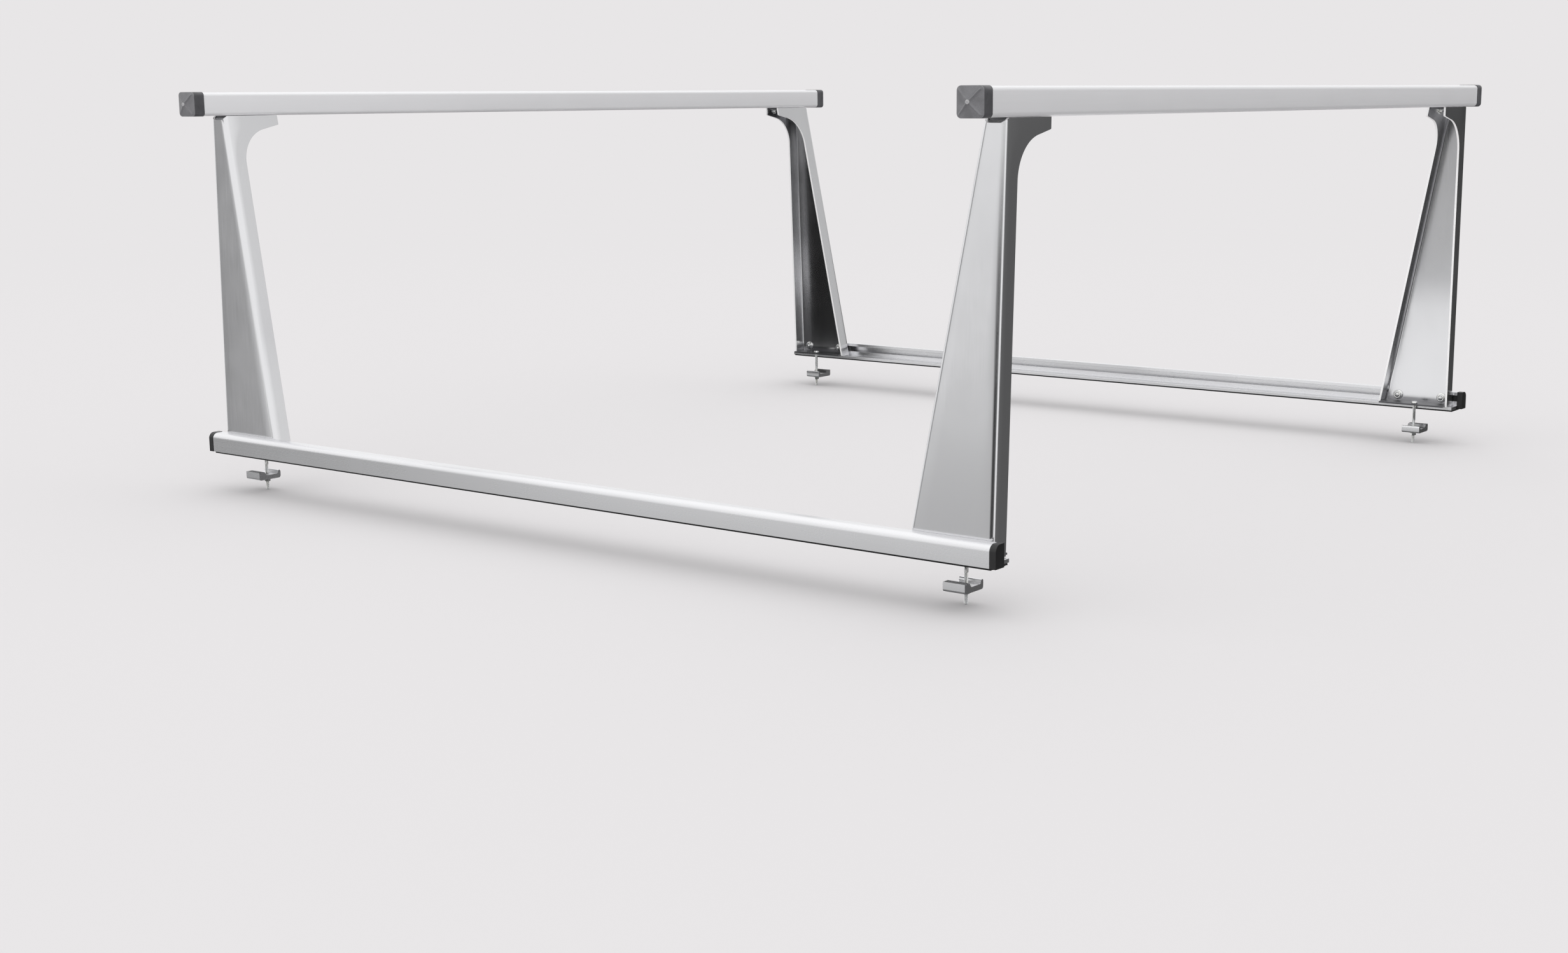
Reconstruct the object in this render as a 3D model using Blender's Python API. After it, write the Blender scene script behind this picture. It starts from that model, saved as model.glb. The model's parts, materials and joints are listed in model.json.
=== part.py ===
"""Over-bed pickup rack.

Two hoops stand on two side rails. A hoop is a crossbar on two tapered uprights, and it slides along
the rails in their T-slots. A clamp under each foot grips the lip of the truck's bed side.
X points to the passenger side, Y to the cab and Z up. Z = 0 is the top of the bed sides.
"""
import math

import bmesh
import bpy
from mathutils import Matrix, Vector

for old in list(bpy.data.objects):
    bpy.data.objects.remove(old, do_unlink=True)

# Overall sizes, in metres
RACK_HEIGHT = 0.633        # bed side to the top of a crossbar
BAR_SPACING = 1.600        # from one crossbar's middle to the other's
TRACK = 1.700              # over the outer faces of the uprights, at the top of the rails
BAR_OVERHANG = 0.025       # crossbar end past that, without its end cap
GAP = 0.0003               # left between two pieces that touch

# Crossbar extrusion and its end caps
BAR_WIDTH = 0.040
BAR_HEIGHT = 0.040
BAR_WALL = 0.003
BAR_CORNER = 0.0064
BAR_SLOT_CLEARANCE = 0.0005  # each side of the bolt's shank
BAR_SLOT_CAVITY_WIDTH = 0.018
BAR_SLOT_CAVITY_HEIGHT = 0.007
BAR_CAP_LENGTH = 0.022
BAR_CAP_CONE = 0.005       # depth of the pyramid on the cap's face
BAR_CAP_CONE_ROOT = 0.001  # how deep the pyramid is let into the face
BAR_CAP_PROUD = 0.0008
BAR_CAP_PLUG = 0.015
BAR_CAP_NUB_RADIUS = 0.0028

# Side rail extrusion, its end caps and its seal
SEAL_THICKNESS = 0.003
RAIL_BOX_WIDTH = 0.021     # from the wall that the upright lies on to the outer face
RAIL_SHOULDER = 0.010      # radius of the outer top edge
RAIL_LIP = 0.004           # thickness of the wall with the slot in it
RAIL_SKIN = 0.0045         # thickness of the outer wall
RAIL_FLANGE_WIDTH = 0.029
RAIL_FLANGE_THICKNESS = 0.006
RAIL_SLOT_CLEARANCE = 0.002  # over and under a stud
RAIL_SLOT_CAVITY_HEIGHT = 0.019
RAIL_ROOF = 0.003          # wall over the slot's cavity
RAIL_PAST_BAR = 0.018      # rail end past the crossbar's middle
RAIL_CAP_THICKNESS = 0.010
RAIL_CAP_PROUD = 0.0005
RAIL_CAP_PLUG = 0.010

# Upright
SHEET = 0.004
LEAN = 0.0255              # inboard lean, metres in a metre
FLANGE_WIDTH = 0.033
SLANT_FLANGE_INSET = 0.0005
END_FLANGE_DRAFT = 0.006   # how much nearer the middle the end flange is at its foot
FOOT_LENGTH = 0.141        # over the two flanges at the foot
WEB_DROP = 0.007           # web top to the crossbar
ARM_REACH = 0.114
ARM_END_HEIGHT = 0.0165
ARM_SLOPE = math.radians(12)  # of the arm's underside, between its end and its curve
ARM_CORNER = 0.002
ARM_CURVE = 0.062

# Plates inside the upright
TOP_PLATE = 0.0035
TOP_PLATE_SETBACK = 0.002
FOOT_PLATE = 0.003
FOOT_PLATE_MARGIN = 0.0085  # past the clamp bolt's axis

# Fasteners: crossbar bolt, foot studs and their nuts
BOLT_RADIUS = 0.004
BOLT_CLEARANCE = 0.0004
BAR_BOLT_INSET = 0.0125    # from the arm's end
BAR_BOLT_HEAD_LENGTH = 0.014
BAR_BOLT_HEAD_THICKNESS = 0.004
HEAD_SIDE_CLEARANCE = 0.001
STUD_BAR_THICKNESS = 0.004
STUD_EDGE_END = 0.022      # from the end flange's face
STUD_EDGE_SLANT = 0.030    # from the slanted flange's face
STUD_BAR_MARGIN = 0.009
NUT_ACROSS_FLATS = 0.013
NUT_HEIGHT = 0.0065
NUT_FLANGE_RADIUS = 0.0095
NUT_FLANGE_THICKNESS = 0.0018
NUT_TO_FLANGE = 0.0025     # crossbar nut to the end flange
NUT_TO_PLATE = 0.0014      # foot nut to the foot plate
THREAD_PAST_NUT = 0.003

# Clamp
CLAMP_GRIP = 0.031         # thickness of the bed side's lip that the clamp holds at rest
CLAMP_BOLT_RADIUS = 0.003
CLAMP_BOLT_HEAD_RADIUS = 0.006
CLAMP_BOLT_HEAD_TOP_RADIUS = 0.0042
CLAMP_BOLT_HEAD_HEIGHT = 0.004
CLAMP_BOLT_TO_RAIL = 0.0035  # shank to the edge of the rail's flange
CLAMP_FROM_END = 0.065     # clamp bolt to the end flange's face
CLAMP_NUT_ACROSS_FLATS = 0.010
CLAMP_NUT_FLANGE_RADIUS = 0.0065
CLAMP_NUT_HEIGHT = 0.006
CLAMP_OPENING = 0.012      # how far the jaw can drop
JAW_LENGTH = 0.036
JAW_BASE = 0.008
JAW_LIFT = 0.006           # height of the nose and the heel over the base
JAW_HEEL = 0.006
JAW_NOSE = 0.012
JAW_REACH = 0.031          # bolt's axis to the tip of the nose
JAW_BACK = 0.0155          # bolt's axis to the back of the heel

# Places worked out from the sizes above
BAR_LENGTH = TRACK + 2 * BAR_OVERHANG
BAR_BOTTOM = RACK_HEIGHT - BAR_HEIGHT
BAR_SLOT_WIDTH = 2 * (BOLT_RADIUS + BAR_SLOT_CLEARANCE)
FOOT_BOTTOM = SEAL_THICKNESS + RAIL_FLANGE_THICKNESS + GAP
FOOT_PLATE_TOP = FOOT_BOTTOM + FOOT_PLATE
SLOT_MIDDLE = FOOT_PLATE_TOP + GAP + NUT_TO_PLATE + NUT_FLANGE_RADIUS
RAIL_SLOT_HEIGHT = 2 * (BOLT_RADIUS + RAIL_SLOT_CLEARANCE)
RAIL_TOP = SLOT_MIDDLE + RAIL_SLOT_CAVITY_HEIGHT / 2 + RAIL_ROOF
FLANGE_TOP = BAR_BOTTOM - GAP
WEB_TOP = BAR_BOTTOM - WEB_DROP
BAR_Y = BAR_SPACING / 2
END_TOP_Y = BAR_Y + NUT_FLANGE_RADIUS + NUT_TO_FLANGE + SHEET
SLANT_TOP_Y = BAR_Y - BAR_WIDTH / 2 + SLANT_FLANGE_INSET
END_FOOT_Y = END_TOP_Y - END_FLANGE_DRAFT
SLANT_FOOT_Y = END_FOOT_Y - FOOT_LENGTH
UPRIGHT_HEIGHT = FLANGE_TOP - FOOT_BOTTOM


def web_outer_x(z):
    """Outer face of the right-hand web at height z."""
    return TRACK / 2 - LEAN * (z - RAIL_TOP)


def web_inner_x(z):
    return web_outer_x(z) - SHEET * math.hypot(1, LEAN)


def end_face_y(z):
    """Outer face of the front upright's end flange at height z."""
    return END_FOOT_Y + (END_TOP_Y - END_FOOT_Y) * (z - FOOT_BOTTOM) / UPRIGHT_HEIGHT


def slant_face_y(z):
    """Outer face of the front upright's slanted flange at height z."""
    return SLANT_FOOT_Y + (SLANT_TOP_Y - SLANT_FOOT_Y) * (z - FOOT_BOTTOM) / UPRIGHT_HEIGHT


def end_inner_y(z):
    return end_face_y(z) - SHEET * math.hypot(1, (END_TOP_Y - END_FOOT_Y) / UPRIGHT_HEIGHT)


def slant_inner_y(z):
    return slant_face_y(z) + SHEET * math.hypot(1, (SLANT_TOP_Y - SLANT_FOOT_Y) / UPRIGHT_HEIGHT)


RAIL_WALL_X = web_outer_x(FOOT_BOTTOM) + GAP
RAIL_EDGE_X = RAIL_WALL_X - RAIL_FLANGE_WIDTH
RAIL_LENGTH = BAR_SPACING + 2 * RAIL_PAST_BAR
ARM_END_X = web_outer_x(FLANGE_TOP) - ARM_REACH
BAR_BOLT_X = ARM_END_X + BAR_BOLT_INSET
TOP_PLATE_Z = FLANGE_TOP - TOP_PLATE
STUD_Y = (END_FOOT_Y - STUD_EDGE_END, SLANT_FOOT_Y + STUD_EDGE_SLANT)
CLAMP_X = RAIL_EDGE_X - CLAMP_BOLT_TO_RAIL - CLAMP_BOLT_RADIUS
CLAMP_Y = END_FOOT_Y - CLAMP_FROM_END
JAW_TOP = -CLAMP_GRIP - JAW_LIFT
JAW_BOTTOM = JAW_TOP - JAW_BASE

# Collections
parts = bpy.data.collections.new("bed_rack")
cutters = bpy.data.collections.new("cutters")
bpy.context.scene.collection.children.link(parts)
bpy.context.scene.collection.children.link(cutters)


def material(name, colour, metallic, roughness):
    made = bpy.data.materials.new(name)
    made.use_nodes = True
    shader = made.node_tree.nodes["Principled BSDF"]
    shader.inputs["Base Color"].default_value = (*colour, 1)
    shader.inputs["Metallic"].default_value = metallic
    shader.inputs["Roughness"].default_value = roughness
    return made


ALUMINIUM = material("satin_anodised_aluminium", (0.72, 0.72, 0.73), 1.0, 0.35)
STEEL = material("zinc_plated_steel", (0.62, 0.62, 0.60), 1.0, 0.3)
GREY_PLASTIC = material("grey_moulded_nylon", (0.16, 0.16, 0.17), 0.0, 0.55)
BLACK_PLASTIC = material("black_moulded_nylon", (0.012, 0.012, 0.013), 0.0, 0.5)
RUBBER = material("epdm_rubber", (0.01, 0.01, 0.01), 0.0, 0.8)


def arc(centre, radius, start, end, steps):
    """Points on an arc, from start to end in degrees."""
    points = []
    for step in range(steps + 1):
        angle = math.radians(start + (end - start) * step / steps)
        points.append((centre[0] + radius * math.cos(angle), centre[1] + radius * math.sin(angle)))
    return points


def rounded_box(low, high, radius, steps=4):
    """Outline of a box with four rounded corners."""
    corners = ((high[0], high[1], 0), (low[0], high[1], 90), (low[0], low[1], 180), (high[0], low[1], 270))
    points = []
    for x, y, start in corners:
        centre = (x - radius if x == high[0] else x + radius, y - radius if y == high[1] else y + radius)
        points += arc(centre, radius, start, start + 90, steps)
    return points


def circle(centre, radius, steps=20):
    return arc(centre, radius, 0, 360, steps)[:-1]


# A flat outline's own X, Y and Z axes, for a prism that runs along each world axis
PRISM_AXES = {
    "X": Matrix(((0, 0, 1), (1, 0, 0), (0, 1, 0))),
    "Y": Matrix(((1, 0, 0), (0, 0, -1), (0, 1, 0))),
    "Z": Matrix.Identity(3),
}
PRISM_DIRECTION = {"X": Vector((1, 0, 0)), "Y": Vector((0, 1, 0)), "Z": Vector((0, 0, 1))}


def weld(mesh):
    """Joins the caps of a converted curve to its sides and turns every face outwards."""
    shape = bmesh.new()
    shape.from_mesh(mesh)
    bmesh.ops.remove_doubles(shape, verts=shape.verts, dist=1e-6)
    bmesh.ops.recalc_face_normals(shape, faces=shape.faces)
    shape.to_mesh(mesh)
    shape.free()


def prism(axis, low, high, outline, *holes):
    """A flat outline, with any holes in it, extruded from low to high along a world axis."""
    curve = bpy.data.curves.new("outline", "CURVE")
    curve.dimensions = "2D"
    curve.fill_mode = "BOTH"
    curve.extrude = (high - low) / 2
    for loop in (outline, *holes):
        spline = curve.splines.new("POLY")
        spline.points.add(len(loop) - 1)
        for point, (u, v) in zip(spline.points, loop):
            point.co = (u, v, 0, 1)
        spline.use_cyclic_u = True
    drawn = bpy.data.objects.new("outline", curve)
    cutters.objects.link(drawn)
    place = Matrix.Translation(PRISM_DIRECTION[axis] * (low + high) / 2)
    drawn.matrix_world = place @ PRISM_AXES[axis].to_4x4()
    bpy.context.view_layer.update()
    mesh = bpy.data.meshes.new_from_object(drawn.evaluated_get(bpy.context.evaluated_depsgraph_get()))
    weld(mesh)
    solid = bpy.data.objects.new("prism", mesh)
    cutters.objects.link(solid)
    solid.matrix_world = drawn.matrix_world.copy()
    bpy.data.objects.remove(drawn, do_unlink=True)
    return solid


def cylinder(axis, centre, radius, low, high, segments=20, top_radius=None):
    """A round, hexagonal or tapered bar along a world axis, from low to high on that axis."""
    mesh = bpy.data.meshes.new("cylinder")
    shape = bmesh.new()
    bmesh.ops.create_cone(shape, cap_ends=True, segments=segments, radius1=radius,
                          radius2=radius if top_radius is None else top_radius, depth=high - low)
    shape.to_mesh(mesh)
    shape.free()
    solid = bpy.data.objects.new("cylinder", mesh)
    cutters.objects.link(solid)
    middle = Vector(centre)
    middle["XYZ".index(axis)] = (low + high) / 2
    turns = {"X": Matrix.Rotation(math.pi / 2, 4, "Y"), "Y": Matrix.Rotation(-math.pi / 2, 4, "X")}
    solid.matrix_world = Matrix.Translation(middle) @ turns.get(axis, Matrix.Identity(4))
    return solid


def box(low, high):
    mesh = bpy.data.meshes.new("box")
    shape = bmesh.new()
    bmesh.ops.create_cube(shape, size=1)
    shape.to_mesh(mesh)
    shape.free()
    solid = bpy.data.objects.new("box", mesh)
    cutters.objects.link(solid)
    low, high = Vector(low), Vector(high)
    solid.matrix_world = Matrix.Translation((low + high) / 2) @ Matrix.Diagonal((*(high - low), 1))
    return solid


def combine(solid, operation, *tools):
    """Adds one Boolean modifier for each tool."""
    for tool in tools:
        tool.hide_render = True
        tool.display_type = "WIRE"
        step = solid.modifiers.new(operation.lower(), "BOOLEAN")
        step.operation = operation
        step.solver = "EXACT"
        step.object = tool
    return solid


def remove_with_tools(solid):
    for step in list(solid.modifiers):
        remove_with_tools(step.object)
    bpy.data.objects.remove(solid, do_unlink=True)


def finished(solid, origin):
    """The solid's mesh with its modifiers applied, measured from origin. The tools are removed."""
    bpy.context.view_layer.update()
    mesh = bpy.data.meshes.new_from_object(solid.evaluated_get(bpy.context.evaluated_depsgraph_get()))
    mesh.transform(Matrix.Translation(-Vector(origin)) @ solid.matrix_world)
    remove_with_tools(solid)
    return mesh


def add_part(name, mesh, origin, finish, parent=None):
    part = bpy.data.objects.new(name, mesh)
    mesh.materials.clear()
    mesh.materials.append(finish)
    parts.objects.link(part)
    part.location = origin
    if parent:
        part.parent = parent
        part.matrix_parent_inverse = parent.matrix_world.inverted()
    return part


def add_corner_part(name, mesh, origin, finish, side, end, parent=None):
    """Places a piece that is modelled at the front right corner in one of the four corners."""
    copy = mesh.copy()
    copy.transform(Matrix.Diagonal((side, end, 1, 1)))
    if side * end < 0:
        copy.flip_normals()
    return add_part(name, copy, (origin[0] * side, origin[1] * end, origin[2]), finish, parent)


def empty(name, location, parent=None):
    """A joint's own frame: the pieces that move with the joint are its children."""
    marker = bpy.data.objects.new(name, None)
    parts.objects.link(marker)
    marker.location = location
    if parent:
        marker.parent = parent
        marker.matrix_parent_inverse = parent.matrix_world.inverted()
    bpy.context.view_layer.update()
    return marker


def slot_outline(shrink):
    """The rail's T-slot cavity, with its outer top corner cut off, made smaller by shrink."""
    inboard = RAIL_WALL_X + RAIL_LIP + shrink
    outboard = RAIL_WALL_X + RAIL_BOX_WIDTH - RAIL_SKIN - shrink
    low = SLOT_MIDDLE - RAIL_SLOT_CAVITY_HEIGHT / 2 + shrink
    high = SLOT_MIDDLE + RAIL_SLOT_CAVITY_HEIGHT / 2 - shrink
    return [(inboard, low), (outboard, low), (outboard, high - RAIL_LIP),
            (outboard - RAIL_LIP, high), (inboard, high)]


def rail_outer_face(proud):
    """Underside, outer face, rounded shoulder and top of the rail's box, from the wall round to the wall."""
    outer = RAIL_WALL_X + RAIL_BOX_WIDTH + proud
    top = RAIL_TOP + proud
    radius = RAIL_SHOULDER + proud
    shoulder = arc((outer - radius, top - radius), radius, 0, 90, 8)
    return [(outer, SEAL_THICKNESS), *shoulder, (RAIL_WALL_X, top)]


def make_rail():
    """Box with a T-slot on its inboard side, and a flange along its foot."""
    cavity = slot_outline(0)
    slot_low = SLOT_MIDDLE - RAIL_SLOT_HEIGHT / 2
    slot_high = SLOT_MIDDLE + RAIL_SLOT_HEIGHT / 2
    slot = [(RAIL_WALL_X, slot_high), (cavity[0][0], slot_high), *reversed(cavity),
            (cavity[0][0], slot_low), (RAIL_WALL_X, slot_low)]
    flange_top = SEAL_THICKNESS + RAIL_FLANGE_THICKNESS
    flange = [(RAIL_WALL_X, flange_top), (RAIL_EDGE_X, flange_top), (RAIL_EDGE_X, SEAL_THICKNESS)]
    outline = rail_outer_face(0) + slot + flange
    return prism("Y", -RAIL_LENGTH / 2, RAIL_LENGTH / 2, outline)


def make_rail_cap():
    """D-shaped cover with a plug that goes into the T-slot's cavity."""
    start = RAIL_LENGTH / 2 + GAP
    cover = rail_outer_face(RAIL_CAP_PROUD) + [(RAIL_WALL_X, SEAL_THICKNESS)]
    cap = prism("Y", start, start + RAIL_CAP_THICKNESS, cover)
    plug = prism("Y", start - RAIL_CAP_PLUG, start + RAIL_CAP_THICKNESS / 2, slot_outline(GAP))
    return combine(cap, "UNION", plug)


def make_seal():
    low = (RAIL_EDGE_X + RAIL_LIP, -RAIL_LENGTH / 2, 0)
    high = (RAIL_WALL_X + RAIL_BOX_WIDTH - RAIL_LIP, RAIL_LENGTH / 2, SEAL_THICKNESS - GAP)
    return box(low, high)


def make_crossbar():
    """Hollow extrusion with rounded edges and a T-slot along its underside."""
    half = BAR_WIDTH / 2
    body = prism("X", -BAR_LENGTH / 2, BAR_LENGTH / 2,
                 rounded_box((BAR_Y - half, BAR_BOTTOM), (BAR_Y + half, RACK_HEIGHT), BAR_CORNER),
                 rounded_box(*bar_hollow(0), BAR_WALL / 2, 2))
    past_end = BAR_LENGTH / 2 + BAR_WALL
    mouth = box((-past_end, BAR_Y - BAR_SLOT_WIDTH / 2, BAR_BOTTOM - BAR_WALL),
                (past_end, BAR_Y + BAR_SLOT_WIDTH / 2, BAR_BOTTOM + BAR_WALL + GAP))
    cavity_low = BAR_BOTTOM + BAR_WALL
    cavity = box((-past_end, BAR_Y - BAR_SLOT_CAVITY_WIDTH / 2, cavity_low),
                 (past_end, BAR_Y + BAR_SLOT_CAVITY_WIDTH / 2, cavity_low + BAR_SLOT_CAVITY_HEIGHT))
    return combine(body, "DIFFERENCE", mouth, cavity)


def bar_hollow(shrink):
    """Low and high corner of the crossbar's upper hollow in Y and Z, made smaller by shrink."""
    half = BAR_WIDTH / 2 - BAR_WALL - shrink
    low = BAR_BOTTOM + 2 * BAR_WALL + BAR_SLOT_CAVITY_HEIGHT + shrink
    return (BAR_Y - half, low), (BAR_Y + half, RACK_HEIGHT - BAR_WALL - shrink)


def make_bar_cap():
    """Square cap with a shallow pyramid on its face, a nub on the point, and a plug into the hollow."""
    start = BAR_LENGTH / 2 + GAP
    half = BAR_WIDTH / 2 + BAR_CAP_PROUD
    middle = (0, BAR_Y, (BAR_BOTTOM + RACK_HEIGHT) / 2)
    side = rounded_box((BAR_Y - half, BAR_BOTTOM - BAR_CAP_PROUD),
                       (BAR_Y + half, RACK_HEIGHT + BAR_CAP_PROUD), BAR_CORNER, 3)
    cap = prism("X", start, start + BAR_CAP_LENGTH, side)
    plug = prism("X", start - BAR_CAP_PLUG, start + BAR_CAP_LENGTH / 2,
                 rounded_box(*bar_hollow(GAP), BAR_WALL / 2, 2))
    face = start + BAR_CAP_LENGTH
    base = math.sqrt(2) * (half - BAR_CORNER / 2)
    cone = cylinder("X", middle, base, face - BAR_CAP_CONE_ROOT, face + BAR_CAP_CONE, 4, BAR_CAP_NUB_RADIUS)
    cone.matrix_world = cone.matrix_world @ Matrix.Rotation(math.pi / 4, 4, "Z")
    nub = cylinder("X", middle, BAR_CAP_NUB_RADIUS, face, face + BAR_CAP_CONE + BAR_CAP_NUB_RADIUS / 2, 12)
    return combine(cap, "UNION", plug, cone, nub)


def arm_outline():
    """The arm's end, its sloping underside and the curve that runs down into the flange's free edge."""
    slope = math.tan(ARM_SLOPE)
    corner = (ARM_END_X, FLANGE_TOP - ARM_END_HEIGHT)
    # The curve's centre: its right side meets the leaning free edge, its upper left side the slope
    edge_at_zero = web_outer_x(0) - FLANGE_WIDTH - ARM_CURVE
    run = edge_at_zero + ARM_CURVE * math.sin(ARM_SLOPE) - corner[0]
    drop = ARM_CURVE * math.cos(ARM_SLOPE) + run * slope
    curve_z = (corner[1] - drop) / (1 - LEAN * slope)
    curve_x = edge_at_zero - LEAN * curve_z
    rounding = (corner[0] + ARM_CORNER, corner[1] + ARM_CORNER * math.tan(math.pi / 4 - ARM_SLOPE / 2))
    turn = 90 - math.degrees(ARM_SLOPE)
    points = [(ARM_END_X, FLANGE_TOP)]
    points += arc(rounding, ARM_CORNER, 180, 180 + turn, 3)
    points += arc((curve_x, curve_z), ARM_CURVE, turn, 0, 12)
    return points


def make_upright():
    """Tapered channel, open inboard. Its flanges run out at the top into two curved arms."""
    past = 4 * SHEET
    high = FLANGE_TOP + past
    low = FOOT_BOTTOM - past
    plan = prism("X", ARM_END_X - past, web_outer_x(low) + past,
                 [(slant_face_y(low), low), (end_face_y(low), low),
                  (end_face_y(high), high), (slant_face_y(high), high)])
    web = [(web_outer_x(FOOT_BOTTOM), FOOT_BOTTOM), (web_outer_x(FLANGE_TOP), FLANGE_TOP)]
    foot_edge = (web_outer_x(FOOT_BOTTOM) - FLANGE_WIDTH, FOOT_BOTTOM)
    side = prism("Y", SLANT_FOOT_Y - past, END_TOP_Y + past, web + arm_outline() + [foot_edge])
    channel = prism("X", ARM_END_X - past, web_inner_x(low),
                    [(slant_inner_y(low), low), (end_inner_y(low), low),
                     (end_inner_y(high), high), (slant_inner_y(high), high)])
    inboard_of_web = prism("Y", SLANT_FOOT_Y - past, END_TOP_Y + past,
                           [(ARM_END_X - 2 * past, low - past), (web_inner_x(low - past), low - past),
                            (web_inner_x(high + past), high + past), (ARM_END_X - 2 * past, high + past)])
    combine(channel, "INTERSECT", inboard_of_web)
    notch = box((web_inner_x(WEB_TOP) - past, slant_inner_y(FLANGE_TOP), WEB_TOP),
                (web_outer_x(WEB_TOP) + past, end_inner_y(WEB_TOP) - GAP, high))
    holes = [cylinder("X", (0, y, SLOT_MIDDLE), BOLT_RADIUS + BOLT_CLEARANCE,
                      web_inner_x(SLOT_MIDDLE) - SHEET, RAIL_WALL_X + SHEET) for y in STUD_Y]
    combine(plan, "INTERSECT", side)
    return combine(plan, "DIFFERENCE", channel, notch, *holes)


def make_top_plate():
    """Plate welded between the arms. The crossbar's bolt goes through it."""
    near = slant_inner_y(FLANGE_TOP) + GAP
    far = end_inner_y(TOP_PLATE_Z) - GAP
    low_x = ARM_END_X + TOP_PLATE_SETBACK
    high_x = web_inner_x(FLANGE_TOP) - SHEET
    return prism("Z", TOP_PLATE_Z, FLANGE_TOP, [(low_x, near), (high_x, near), (high_x, far), (low_x, far)],
                 circle((BAR_BOLT_X, BAR_Y), BOLT_RADIUS + BOLT_CLEARANCE))


def make_foot_plate():
    """Plate between the flanges, lying on the rail's flange. The clamp's bolt hangs from it."""
    near = slant_inner_y(FOOT_PLATE_TOP) + GAP
    far = end_inner_y(FOOT_BOTTOM) - GAP
    low_x = CLAMP_X - FOOT_PLATE_MARGIN
    high_x = web_inner_x(FOOT_PLATE_TOP) - GAP
    outline = [(low_x, near), (high_x, near), (high_x, far), (low_x, far)]
    return prism("Z", FOOT_BOTTOM, FOOT_PLATE_TOP, outline,
                 circle((CLAMP_X, CLAMP_Y), CLAMP_BOLT_RADIUS + BOLT_CLEARANCE))


def make_nut(axis, centre, low, high, across_flats, flange_radius, bore):
    """Hexagonal nut with a round flange at its high end and a clear hole."""
    hexagon = cylinder(axis, centre, across_flats / math.sqrt(3), low, high, 6)
    flange = cylinder(axis, centre, flange_radius, high - NUT_FLANGE_THICKNESS, high, 24)
    hole = cylinder(axis, centre, bore, low - NUT_HEIGHT, high + NUT_HEIGHT, 16)
    combine(hexagon, "UNION", flange)
    return combine(hexagon, "DIFFERENCE", hole)


def make_bar_bolt():
    """T-head bolt. The head lies in the crossbar's slot and the shank hangs through the top plate."""
    head_low = BAR_BOTTOM + BAR_WALL + GAP
    half_width = BAR_SLOT_CAVITY_WIDTH / 2 - HEAD_SIDE_CLEARANCE
    half_length = BAR_BOLT_HEAD_LENGTH / 2
    head = box((BAR_BOLT_X - half_length, BAR_Y - half_width, head_low),
               (BAR_BOLT_X + half_length, BAR_Y + half_width, head_low + BAR_BOLT_HEAD_THICKNESS))
    shank = cylinder("Z", (BAR_BOLT_X, BAR_Y, 0), BOLT_RADIUS,
                     TOP_PLATE_Z - GAP - NUT_HEIGHT - THREAD_PAST_NUT, head_low + BAR_BOLT_HEAD_THICKNESS / 2)
    return combine(head, "UNION", shank)


def make_bar_nut():
    top = TOP_PLATE_Z - GAP
    return make_nut("Z", (BAR_BOLT_X, BAR_Y, 0), top - NUT_HEIGHT, top, NUT_ACROSS_FLATS,
                    NUT_FLANGE_RADIUS, BOLT_RADIUS + BOLT_CLEARANCE)


def foot_nut_face():
    """Where a foot nut's flange meets the leaning web."""
    return web_inner_x(SLOT_MIDDLE + NUT_FLANGE_RADIUS) - GAP


def make_stud_bar():
    """Bar in the rail's T-slot, with two studs that reach inboard through the web."""
    low_x = RAIL_WALL_X + RAIL_LIP + GAP
    half = RAIL_SLOT_CAVITY_HEIGHT / 2 - HEAD_SIDE_CLEARANCE
    bar = box((low_x, STUD_Y[1] - STUD_BAR_MARGIN, SLOT_MIDDLE - half),
              (low_x + STUD_BAR_THICKNESS, STUD_Y[0] + STUD_BAR_MARGIN, SLOT_MIDDLE + half))
    tip = foot_nut_face() - NUT_HEIGHT - THREAD_PAST_NUT
    root = low_x + STUD_BAR_THICKNESS / 2
    studs = [cylinder("X", (0, y, SLOT_MIDDLE), BOLT_RADIUS, tip, root) for y in STUD_Y]
    return combine(bar, "UNION", *studs)


def make_foot_nut(y):
    face = foot_nut_face()
    return make_nut("X", (0, y, SLOT_MIDDLE), face - NUT_HEIGHT, face, NUT_ACROSS_FLATS,
                    NUT_FLANGE_RADIUS, BOLT_RADIUS + BOLT_CLEARANCE)


def make_clamp_bolt():
    """Button-head bolt on the foot plate, long enough for the jaw to drop by its opening."""
    head_low = FOOT_PLATE_TOP + GAP
    centre = (CLAMP_X, CLAMP_Y, 0)
    head = cylinder("Z", centre, CLAMP_BOLT_HEAD_RADIUS, head_low, head_low + CLAMP_BOLT_HEAD_HEIGHT, 20,
                    CLAMP_BOLT_HEAD_TOP_RADIUS)
    shank_low = JAW_BOTTOM - GAP - CLAMP_NUT_HEIGHT - CLAMP_OPENING - THREAD_PAST_NUT
    shank = cylinder("Z", centre, CLAMP_BOLT_RADIUS, shank_low, head_low + CLAMP_BOLT_HEAD_HEIGHT / 2, 16)
    return combine(head, "UNION", shank)


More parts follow.
